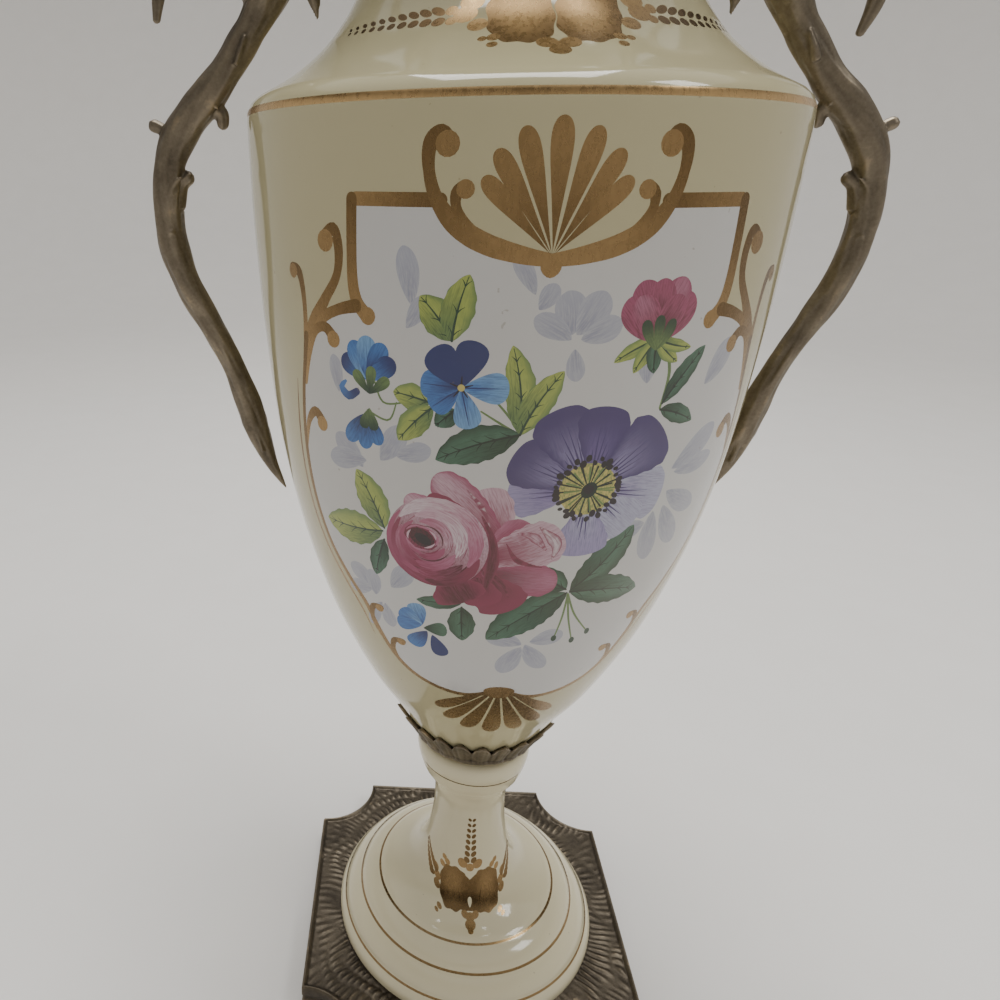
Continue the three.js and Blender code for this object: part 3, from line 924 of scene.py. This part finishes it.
def fan(art, root, direction, fingers, width):
    # club-shaped gold petals spread to both sides of one direction: each is (spread, length)
    for spread, length in fingers[::-1]:
        for side in ((1, -1) if spread else (1,)):
            art.petal(root, direction + side * spread, length, width * (1 - 0.003 * spread), "shade",
                      "gold", form=(1.15, 7, 0.5), start=0.5, gilt=1.0)


mist = [  # soft grey-blue leaves behind the bouquet: place, direction, length, width
    ((-36, 91), 150, 10, 6), ((-37, 90), 200, 9, 5.5), ((-36, 88), 100, 9, 5), ((-31, 93), 60, 10, 6),
    ((-34, 86), 250, 12, 4), ((-33, 86), 285, 9, 4.5), ((-39, 128), 140, 11, 6), ((-38, 130), 190, 12, 6),
    ((-34, 131), 60, 11, 6), ((-30, 133), 20, 9, 5), ((6, 163), 100, 9, 6.5), ((7, 163), 60, 10, 6.5),
    ((8, 162), 25, 9, 5.5), ((6, 162), 150, 9, 5), ((7, 160), 280, 7, 4), ((-2, 171), 120, 9, 3.6),
    ((-1, 168), 60, 6, 4), ((36, 130), 35, 16, 6.5), ((37, 129), 8, 14, 5), ((36, 124), 330, 14, 6),
    ((33, 119), 275, 15, 6), ((36, 120), 300, 15, 6), ((31, 116), 200, 6, 5), ((4, 79), 160, 10, 6),
    ((4, 78), 250, 12, 6), ((5, 79), 300, 12, 5.5), ((6, 80), 20, 9, 6), ((-27, 168), 100, 12, 5),
    ((-28, 163), 60, 8, 4), ((24, 152), 100, 8, 5), ((41, 150), 55, 12, 6), ((-46, 146), 100, 9, 4),
]


def paintMist(art):
    art.petals([(*row, "mistDeep", "mist") for row in mist], form=(0.7, 2, 0.6), edge="mist", bend=14,
               deep="white", streak=0.5)


def paintStem(art, path, width):
    art.line(path, [width, width, width * 0.7], "leafMid", deep="leafDeep", streak=0.3)


darkLeaf = ("teal", "leafDark", "leafDeep")
limeLeaf = ("leafLight", "leafMid", "leafDark")

leaves = [  # place, direction, length, width, tones, bend
    ((-33, 112), 118, 17, 8.6, limeLeaf, 16), ((-33.5, 111), 188, 19.5, 10.5, limeLeaf, -14),
    ((-33, 108.5), 258, 13, 5.6, darkLeaf, 12), ((-18, 161), 128, 11.5, 7.2, limeLeaf, 20),
    ((-18, 161), 78, 14, 7, limeLeaf, -16), ((-2.5, 141), 98, 20, 6.6, limeLeaf, 20),
    ((-2.5, 141), 62, 16.5, 6.4, limeLeaf, -20), ((-2.5, 141), 202, 19.5, 8.6, darkLeaf, 20),
    ((-22, 147), 170, 9, 6.2, limeLeaf, 10), ((-21.5, 146), 228, 12, 6.6, limeLeaf, 16),
    ((-16.5, 146), 225, 6, 5, darkLeaf, 0), ((14, 98), 52, 23, 9, darkLeaf, 16),
    ((14, 97.6), 352, 20.5, 9.6, darkLeaf, -18), ((13.2, 97.4), 222, 25, 10.4, darkLeaf, 16),
    ((12.8, 98.6), 150, 12, 7.6, darkLeaf, 20), ((-12, 93.2), 190, 12, 4.6, darkLeaf, -14),
    ((-12, 91.5), 274, 12.5, 7, darkLeaf, 6), ((28.8, 145.6), 340, 11, 4.6, darkLeaf, -20),
    ((29, 147), 52, 15.5, 5, darkLeaf, -10),
]


stems = [  # path, width
    ([(-2.5, 141), (-5, 145), (-9.5, 150)], 0.28), ([(-2.5, 141), (-6, 143), (-11, 146)], 0.28),
    ([(27, 161), (29.4, 154), (28.6, 146)], 0.42), ([(-35.5, 150), (-33, 145.5), (-26, 147)], 0.25),
    ([(-37.5, 143), (-32, 141.5), (-30, 146)], 0.25),
]


def paintLeaves(art):
    for path, width in stems:
        paintStem(art, path, width)
    for tip, dip in (((12.2, 81), 0.4), ((17.4, 79.4), -0.4), ((21.4, 82), -1.0)):
        middle = ((13.6 + tip[0]) / 2 + dip, (97 + tip[1]) / 2)
        paintStem(art, [(13.6, 97), middle, tip], 0.28)
        art.dot(tip[0], tip[1], 0.75, "leafDark", stretch=1.6, lean=90)
    for place, direction, length, width, tones, bend in leaves:
        art.leaf(place, direction, length, width, tones, bend, veins=5 if length > 15 else 3)


def paintBlueFlower(art, x, y, petals, eye):
    for direction, length, width, root, tip in petals:
        path = art.petal((x, y), direction, length, width, root, tip, deep="navy", streak=0.75, edge=tip)
        art.line(path[3:-3], [0.12, 0.16, 0.04], "navy")
    for k in range(5):
        angle = k * turn / 5 + 0.3
        art.line([(x, y), (x, y) + eye * oval(angle)], [0.3, 0.1], "ink")
    art.dot(x, y, 0.8, "straw")


def paintBuds(art):
    # bell-shaped blue buds on the left, and the small blue flower below the rose
    bell = dict(form=(0.7, 3, 0.55), streak=0.8)
    upper, flower = (-37.5, 150.4), (-22, 82)
    art.petals([(upper, 148, 8.5, 5, "blue", "navy"), (upper, 118, 9.5, 5, "sky", "blue"),
                (upper, 92, 10, 5.4, "blue", "sky"), (upper, 64, 9.6, 5, "navy", "blue"),
                (upper, 36, 8.6, 5, "blue", "navy")], deep="navy", **bell)
    art.petals([((-37, 147), direction, 6.6, 2.8, "leafDark", "leafMid") for direction in (40, 85, 130)],
               deep="leafDeep", streak=0.6)
    art.petals([((-38, 142), 235, 9.5, 4.6, "navy", "blue"), ((-37.6, 142), 265, 9, 4.4, "navy", "blue"),
                ((-37.5, 142), 295, 8, 4, "navy", "blue")], deep="ink", **bell)
    art.petals([((-37, 143.6), direction, 5.6, 2.8, "leafMid", "leafDark") for direction in (250, 285)],
               deep="leafDeep", streak=0.6)
    art.line([(-40.5, 147), (-43, 145.6), (-45, 147.4), (-43.8, 149)], [0.9, 1.1, 1.0, 0.4], "navy",
            tip="blue")
    art.petals([(flower, 108, 8, 5.4, "blue", "sky"), (flower, 150, 7.4, 5.6, "sky", "blue"),
                (flower, 192, 7.4, 5.4, "blue", "blue"), ((-20.5, 80), 240, 8.4, 5.4, "navy", "blue"),
                ((-19, 79), 292, 8.6, 4.6, "navy", "navy")], form=(0.7, 4, 0.5), deep="navy", streak=0.8)
    art.petal((-21.5, 81), 10, 6.4, 5.2, "leafDark", "teal", deep="leafDeep", streak=0.7)


def paintAnemone(art):
    x, y = centre = (14, 127.5)
    petals = [(350, 20.5, 14, "violetPale", "lilac"), (318, 17, 12, "lilac", "lilac"),
              (272, 18.5, 13.5, "lilac", "violetPale"), (186, 18, 11, "violet", "violetPale"),
              (154, 19.5, 12.5, "violetPale", "violetDeep"), (116, 21.5, 13, "violetPale", "violetDeep"),
              (84, 20, 12, "violet", "violetDeep"), (38, 21.5, 15, "violetPale", "violetDeep")]
    for direction, length, width, root, tip in petals:
        art.petal(centre, direction, length, width, root, tip, form=(0.9, 6, 0.5), deep="violetDeep",
                streak=0.6, edge=tip, start=2, ragged=0.03)
        for lean in (-14, -8, -3, 3, 8, 14):
            out = oval(np.radians(direction + lean))
            reach = length - 4 - 0.25 * abs(lean) - 2 * (lean % 3)
            art.line([centre + 7.5 * out, centre + reach * out], [0.22, 0.13, 0.03], "violetDeep")
    art.dot(x, y, 6.8, "straw", deep="leafMid", streak=0.9)
    for k in range(34):
        out = oval(k * turn / 34 + 0.08 * np.sin(k * 2.7))
        reach = 6.3 + 0.9 * np.sin(k * 4.1)
        art.line([centre + 1.6 * out, centre + reach * out], [0.12, 0.24], "leafDeep" if k % 3 else "leafMid")
    for k in range(38):
        angle = k * turn / 38 + 0.05 * np.sin(k * 5.3)
        reach = 7.3 + 0.6 * np.sin(k * 3.3)
        art.dot(*(centre + reach * oval(angle)), 0.62 + 0.16 * np.sin(k * 1.3), "ink", stretch=1.3,
                lean=np.degrees(angle) + 30 * np.sin(k))
    art.dot(x + 0.3, y - 0.2, 1.8, "leafDeep", stretch=1.2, lean=60)
    art.dot(x + 0.2, y, 1.2, "ink")


rose = {"cup": (-19.5, 110.5), "size": (12.6, 13.2), "reach": 12.9, "heart": (-23.2, 111.8)}


def paintRose(art):
    # guard petals first, then the cup, its wrapped petals as crescents, and the dark heart
    art.field([(-12, 97), (-4, 95), (2, 99), (3, 108), (-3, 118), (-10, 122)], "crimson", deep="maroon",
              streak=0.8)
    guards = [  # place, direction, length, width, bend, root, tip, edge
        ((-9, 117), 164, 19.5, 7, -30, "crimson", "blush", "pink"),
        ((-5, 112), 106, 16, 11, 20, "crimson", "blush", "blush"),
        ((-4, 111), 131, 25, 9.5, 24, "crimson", "blush", "rosy"),
        ((-8, 116), 150, 16, 5, 10, "crimson", "crimson", "crimson"),
        ((-7, 108), 50, 14, 9, 0, "crimson", "rosy", "pink"),
        ((-8, 108), 22, 19.5, 13, 10, "crimson", "blush", "blush"),
        ((-8, 104), 352, 18.5, 10, 20, "maroon", "pink", "rosy"),
        ((-8, 102), 306, 13, 13, -10, "maroon", "crimson", "crimson"),
        ((-9, 102), 284, 9.5, 10, 0, "maroon", "crimson", "crimson"),
        ((-16, 101), 300, 9, 14, 0, "maroon", "maroon", "crimson"),
    ]
    for place, direction, length, width, bend, root, tip, edge in guards:
        art.petal(place, direction, length, width, root, tip, form=(0.5, 5, 0.5), bend=bend,
                  deep="crimson", streak=0.9, edge=edge, ragged=0.04)
    accents = [  # light edges and dark folds over the guard petals
        ([(4, 118), (8.5, 113), (8, 108.5)], [0.1, 1.7, 0.2], "petalWhite"),
        ([(-1, 116), (3, 115), (6.5, 111)], [0.1, 1.3, 0.2], "blush"),
        ([(-13, 127), (-9, 122), (-7, 117)], [0.1, 0.7, 0.1], "petalWhite"),
        ([(-3, 113), (0, 108), (6, 106)], [0.1, 0.8, 0.1], "maroon"),
        ([(-6, 104), (-2.5, 100), (-1, 96)], [0.9, 0.8, 0.1], "maroon"),
        ([(-9, 120), (-6.4, 114), (-5.8, 107), (-6.6, 100)], [0.2, 1.0, 1.7, 0.9], "maroon"),
    ]
    for path, half, tone in accents:
        art.brush(path, half, tone, deep="crimson", streak=0.9, edge="crimson")
    cup = oval(np.arange(48) * turn / 48, *rose["size"]) + rose["cup"]
    middle = cup.mean(axis=0)
    inner = [(cup - middle) * k + middle for k in (0.8, 0.6, 0.4)]
    art.field(cup, "crimson", inner=inner, deep="maroon", streak=0.4, far="blush", fade=60)
    wraps = [  # crescents round the heart: share of the way out, start, end, half width, root, tip
        (0.93, 140, 268, 1.0, "rosy", "crimson"), (0.90, 262, 345, 1.7, "maroon", "crimson"),
        (0.82, 330, 505, 2.4, "pink", "petalWhite"), (0.78, 148, 262, 1.1, "crimson", "rosy"),
        (0.74, 250, 325, 1.9, "crimson", "maroon"), (0.64, 156, 262, 1.2, "pink", "crimson"),
        (0.60, 335, 478, 2.2, "petalWhite", "blush"), (0.56, 245, 335, 1.6, "rosy", "pink"),
        (0.50, 130, 256, 1.2, "rosy", "crimson"), (0.42, 340, 470, 1.5, "blush", "pink"),
        (0.38, 250, 340, 1.1, "crimson", "rosy"), (0.34, 120, 260, 0.9, "pink", "rosy"),
    ]
    for k, (share, start, end, half, root, tip) in enumerate(wraps):
        bend = np.radians(np.linspace(start, end, 9))
        centre = np.array(rose["heart"]) * (1 - share) + np.array(rose["cup"]) * share
        round = oval(bend, *rose["size"])
        art.brush(centre + share * round, half * np.sin(np.linspace(0.05, np.pi - 0.05, 9)) ** 0.6, root, tip,
                  edge=root, deep="crimson" if k % 2 else "rosy", streak=0.9, ragged=0.05)
        inside = share - 0.92 * half / rose["reach"]
        art.line(centre + inside * round, [0.03, 0.12, 0.22, 0.25, 0.22, 0.12, 0.03],
                 "maroon" if k % 2 else "crimson")
    art.dot(*rose["heart"], 3.6, "crimson", stretch=1.25, lean=-25, deep="maroon", streak=0.9)
    art.dot(-23.0, 111.8, 2.5, "maroon", stretch=1.4, lean=-28, deep="ink", streak=0.9)
    art.dot(-22.6, 111.4, 1.4, "ink", stretch=1.7, lean=-30)
    for k in range(8):
        bend = np.radians(np.linspace(0, 60, 4) + 47 * k)
        size = 2.9 + 0.35 * (k % 3)
        path = np.array([-23, 111.7]) + size * oval(bend, 1.25)
        art.line(path, [0.04, 0.32, 0.28, 0.04], "blush" if k % 3 == 0 else "pink")


def paintRosebud(art):
    x, y = 24.5, 161.5
    sepals = [(205, 10.5, 3.4, limeLeaf), (236, 8.5, 3.6, limeLeaf), (272, 7.5, 4, darkLeaf),
              (318, 8, 3.6, limeLeaf), (345, 9.5, 3, limeLeaf)]
    for direction, length, width, tones in sepals:
        art.leaf((x + 0.5, y), direction, length, width, tones, 20, veins=2)
    petals = [(132, 11.5, 7.6, "crimson", "rosy"), (48, 12, 7.6, "crimson", "rosy"),
              (112, 13, 7.4, "maroon", "rosy"), (68, 13.4, 7.4, "crimson", "pink"),
              (90, 12.4, 6.8, "maroon", "rosy"), (120, 10.4, 6.4, "crimson", "pink"),
              (60, 10.2, 6, "maroon", "rosy")]
    art.petals([((x, y), *petal) for petal in petals], form=(0.5, 3, 0.55), deep="maroon", streak=0.9,
               edge="rosy")
    for direction, bend in ((62, 30), (90, 0), (118, -30)):
        art.petal((x + 0.4, y - 2.4), direction, 7.4, 2.6, "leafMid", "leafDark", bend=bend,
                  deep="leafDeep", streak=0.5)


def paintBouquet(art):
    paintMist(art)
    paintLeaves(art)
    paintBuds(art)
    paintRosebud(art)
    paintAnemone(art)
    pansy = [(218, 8.2, 6, "navy", "blue"), (178, 9, 6.6, "navy", "blue"), (284, 9.5, 6, "blue", "sky"),
             (2, 10, 7, "blue", "sky"), (128, 10.5, 7.4, "navy", "navy"), (76, 10.6, 7, "navy", "navy")]
    paintBlueFlower(art, -15.5, 151, pansy, 2.6)
    paintRose(art)


def leafPair(art, x, y, size, direction):
    # two small gilt leaves side by side, slanted away from the line they follow
    across = size * 1.35 * oval(np.radians(direction + 90))
    for side in (-1, 1):
        art.dot(*((x, y) + side * across), size, "shade", gilt=1.0, stretch=1.5, lean=direction + side * 32)


def blossom(art, x, y, halfWidth, halfHeight):
    # a gilt flower seen from the side, brighter in its middle
    angle = np.arange(72) * turn / 72
    lobes = 1 + 0.04 * np.cos(9 * angle)
    box = (np.abs(np.cos(angle)) ** 2.7 + np.abs(np.sin(angle)) ** 2.7) ** (-1 / 2.7)
    ring = oval(angle, halfWidth * box * lobes, halfHeight * box * lobes)
    art.field(ring + [x, y], "shade", 1.0, inner=[ring * k + [x, y] for k in (0.75, 0.5, 0.25)],
              heart="gold")


def paintNeck(art):
    # a pair of gilt blossoms with a trefoil, and chains of paired leaves running round from them
    centre = gilding["centre"]
    for side in (-1, 1):
        blossom(art, centre + side * 6.7, 232, 6.6, 8.4)
        for x, y, radius in ((12.6, 223.2, 0.95), (12.2, 225.8, 1.15), (14.4, 225.4, 0.8), (15.2, 230.2, 1.8),
                             (17.6, 233.6, 2.2), (16, 237, 2.2), (20.6, 232, 1.1), (20.4, 235, 1.2)):
            goldDot(art, (centre + side * x, y), radius, stretch=1.3, lean=-side * 35)
        for k in range(10):
            leafPair(art, centre + side * (23.4 + 2.9 * k), 233.6, 1.15 - 0.075 * k, 0 if side > 0 else 180)
    for x, y, radius in ((-1.7, 223.4, 1.9), (2.7, 223.4, 1.9), (0.5, 220.6, 1.9), (0.5, 222.6, 1.4)):
        goldDot(art, (x, y), radius, stretch=1.15)


def paintFootFront(art):
    # a pair of gilt blossoms under a rising chain of leaves, with small gold balls round them
    balls = [(8.4, 51, 1.0), (10.4, 49.6, 1.0), (9.6, 52.2, 0.9), (2.7, 52.4, 1.6), (11.2, 35.8, 0.9),
             (12.3, 34.4, 0.7), (1.8, 35.4, 1.2), (12.3, 44.6, 1.3), (13.2, 47, 1.2), (12.4, 42, 1.3)]
    art.field([(-3, 36.5), (3, 36.5), (4.2, 44), (2.6, 49), (0, 46.6), (-2.6, 49), (-4.2, 44)], "shade", 1.0)
    for side in (-1, 1):
        blossom(art, side * 6.0, 43, 5.1, 7.2)
        for x, y, radius in balls:
            goldDot(art, (side * x, y), radius, stretch=1.25, lean=side * 50)
        for k in range(8):
            level = 45.5 + 1.0 * k
            reach = np.interp(level, art.up, art.profile[:, 0]) * (0.80 + 0.068 * k)
            leafPair(art, side * reach, level, 0.95 - 0.07 * k, 90 - side * 48)
    for k in range(8):
        leafPair(art, 0, 53.8 + 2.4 * k, 0.9 - 0.05 * k, 90)
    for y, radius in ((51, 1.5), (34.6, 1.6), (32.2, 1.9), (30.2, 1.0)):
        goldDot(art, (0, y), radius)
    art.petal((0, 37.6), 90, 3.4, 1.5, glaze["footCream"], form=(0.6, 3, 0.6), fill=False)


def paintBack(art):
    # a small plain spray inside the same frame
    for place, direction, length, width, tones, bend in (
            ((0, 122), 90, 38, 13, darkLeaf, 14), ((0, 120), 30, 34, 12, limeLeaf, -16),
            ((0, 120), 150, 34, 12, limeLeaf, 16),
            ((0, 118), 330, 32, 12, darkLeaf, 14), ((0, 118), 210, 32, 12, darkLeaf, -14)):
        art.leaf(place, direction, length, width, tones, bend, veins=5)
    for size, root, tip in ((18, "crimson", "blush"), (11, "maroon", "pink")):
        for k in range(6):
            art.petal((0, 120), 60 * k + size, size, 0.86 * size, root, tip, deep="crimson", streak=0.8,
                      edge=tip)
    art.dot(0, 120, 2.4, "straw", deep="leafMid", streak=0.8)
    for spot in oval(np.arange(14) * turn / 14, 3, 3) + [0, 120]:
        art.dot(*spot, 0.4, "ink")


# ---- vase ----

vase = {
    "seat": 96.4, "wall": 4, "lipRadius": 45, "height": 275,
    "belly": [(16, 0), (19.6, 2.4), (24.3, 8), (30.6, 18.4), (39.4, 33), (50.2, 57), (58.6, 84), (64.1, 111),
              (67.3, 140), (69.1, 168), (69.7, 190)],
    "shoulderRadius": 69.7, "shoulderHeight": 193.9, "shoulderRound": 5, "shoulderTurn": 62,
    "neck": [(67.35, 198.3), (58.9, 202.8), (51, 208.8), (45.6, 214.9), (41.8, 221), (38.4, 230), (36.6, 240),
             (36.8, 250), (39.6, 260.5), (44.4, 267.5)],
    "columns": 172,
}


def vaseProfile():
    belly = curveThrough(vase["belly"], 220)
    bend = np.radians(np.linspace(0, vase["shoulderTurn"], 30))[1:-1]
    shoulder = np.stack([vase["shoulderRadius"] - vase["shoulderRound"] * (1 - np.cos(bend)),
                         vase["shoulderHeight"] + vase["shoulderRound"] * np.sin(bend)], axis=1)
    neck = curveThrough(vase["neck"], 150)
    lip = cornered([(vase["lipRadius"], 269), (vase["lipRadius"], 274)], 1.0)
    return np.vstack([belly, shoulder, neck, lip]) + [0, vase["seat"]]


def insideOf(profile, wall):
    along = headings(profile)
    return profile + wall * np.stack([-along[:, 1], along[:, 0]], axis=1)


def makeVase():
    outside = evenly(vaseProfile(), 400)
    inner = insideOf(outside, vase["wall"])
    keep = (inner[:, 1] > vase["seat"] + 7.4) & (inner[:, 1] < vase["seat"] + 269) & (inner[:, 0] > 4)
    inner = inner[keep][::-5]
    lip, bore = vase["lipRadius"], vase["lipRadius"] - vase["wall"]
    top = vase["seat"] + vase["height"]
    rim = [(lip, top - 0.4), (lip - 0.4, top), (bore + 0.4, top), (bore, top - 0.4)]
    upper = np.vstack([outside[-1:], rim, inner, [(17, vase["seat"] + 7.2), (0, vase["seat"] + 6)]])
    lower = np.array([outside[0], (0, vase["seat"])])
    art = Artwork(outside)
    paintReserve(art)
    paintBouquet(art)
    paintFrame(art)
    paintNeck(art)
    back = Artwork(outside, np.pi)
    paintReserve(back)
    paintBack(back)
    paintFrame(back)
    # the vase's ground takes the darker cream, painted shade
    return paintedTurning("vase_painted", outside, [upper, lower], vase["columns"],
            art.shapes + back.shapes, glaze["shadedCream"])


def makeFoot():
    outside = evenly(footProfile(), 260)
    upper = np.array([outside[-1], (0, outside[-1, 1])])
    lower = np.vstack([outside[:1], np.array(foot["hollow"]) + [0, foot["seat"]]])
    art = Artwork(outside)
    paintFootFront(art)
    return paintedTurning("foot_glazed", outside, [upper, lower], foot["columns"], art.shapes,
            glaze["footCream"])


# ---- stage ----

view = {
    "place": (-27.35, -222.76, 277.3), "pitch": 69.0, "heading": 3.45, "lens": 27.52,
    "shift": (0.1405, -0.0328),
}

studio = {  # metres and watts
    "wall": [(0.001, 0), (0.6, 0), (1.1, 0), (1.5, 0.05), (1.85, 0.28), (2.1, 0.75), (2.2, 1.4), (2.22, 2.2)],
    # the wall turns dark between these two heights: painted shade for a dim room round the studio
    "shadedWallFrom": (0.95, 1.5), "sky": 0.6,
    "lights": [  # name, place, aim, size, power
        ("overhead", (0.02, 0.2, 1.5), (0, 0, 0), 0.8, 21),
        ("window", (0.95, -0.3, 1.3), (0, 0, 0.25), 0.35, 4),
    ],
}


def makeCamera():
    data = bpy.data.cameras.new("camera")
    data.lens = view["lens"]
    data.sensor_width = 36
    data.shift_x, data.shift_y = view["shift"]
    data.clip_start = 0.01
    camera = placed("camera", data)
    camera.location = Vector(view["place"]) * mm
    camera.rotation_euler = (np.radians(view["pitch"]), 0, np.radians(view["heading"]))
    bpy.context.scene.camera = camera


def makeLight(name, place, aim, size, power):
    data = bpy.data.lights.new(name, "AREA")
    data.size = size
    data.energy = power
    light = placed(name, data)
    light.location = place
    light.rotation_euler = (Vector(aim) - Vector(place)).to_track_quat("-Z", "Y").to_euler()


def makeStage():
    # a round studio floor that curves up into its wall, so no edge shows from any side
    wall = curveThrough(studio["wall"], 60)
    floor = gridMesh("floor", turnedGrid(wall / mm, 96))
    n = Nodes("paleFloorShadedWall")
    place = n.place()
    speck = n.noise(place, 30, 3, 0.5)
    pale = n.mix(speck, linear(224, 221, 216), linear(229, 226, 222))
    height = n.add("ShaderNodeSeparateXYZ", {0: place}).outputs[2]
    # the upper wall is painted dark: painted shade that stands in for a dim room, so less light reaches the
    # urn from the sides
    colour = n.mix(n.range(height, *studio["shadedWallFrom"]), pale, linear(96, 92, 86))
    floor.data.materials.append(n.finish(Base_Color=colour, Roughness=0.7))
    world = bpy.data.worlds.new("studio")
    world.use_nodes = True
    background = world.node_tree.nodes["Background"]
    background.inputs[0].default_value = (1, 0.99, 0.97, 1)
    background.inputs[1].default_value = studio["sky"]
    bpy.context.scene.world = world
    for light in studio["lights"]:
        makeLight(*light)


# ---- the urn ----

print("plinth and collar")
castPlinth = bronzeMaterial("bronzePlinth", deep=bronze["plinthDeep"], mid=bronze["plinthMid"])
castCollar = bronzeMaterial("bronzeCollar", deep=bronze["plinthDeep"])
finished(makePlinth(), castPlinth, "bronze", "plinth")
finished(makeCollar(), castCollar, "bronze", "collar")
print("mouth ring and handles")
finished(makeRing(), bronzeMaterial("bronzeRing"), "bronze", "mouth_ring")
for name, node, hook, side, metal in (
        ("branch_handle_right", "handle_right", handle["rightHook"], 1, "bronzeBark"),
        ("branch_handle_left", "handle_left", handle["leftHook"], -1, "bronzeBarkLeft")):
    finished(makeHandle(name, node, hook, side), bronzeMaterial(metal, "height"), "bronze", node)
print("foot and vase")
finished(makeFoot(), glazeMaterial("footGlaze", glaze["footLines"], glaze["line"]), "porcelain", "foot")
# the vase's gold line takes the bright band gold, a painted highlight
finished(makeVase(), glazeMaterial("vaseGlaze", glaze["vaseLines"], glaze["band"]), "porcelain", "body")
makeCamera()
makeStage()
print("finishing")
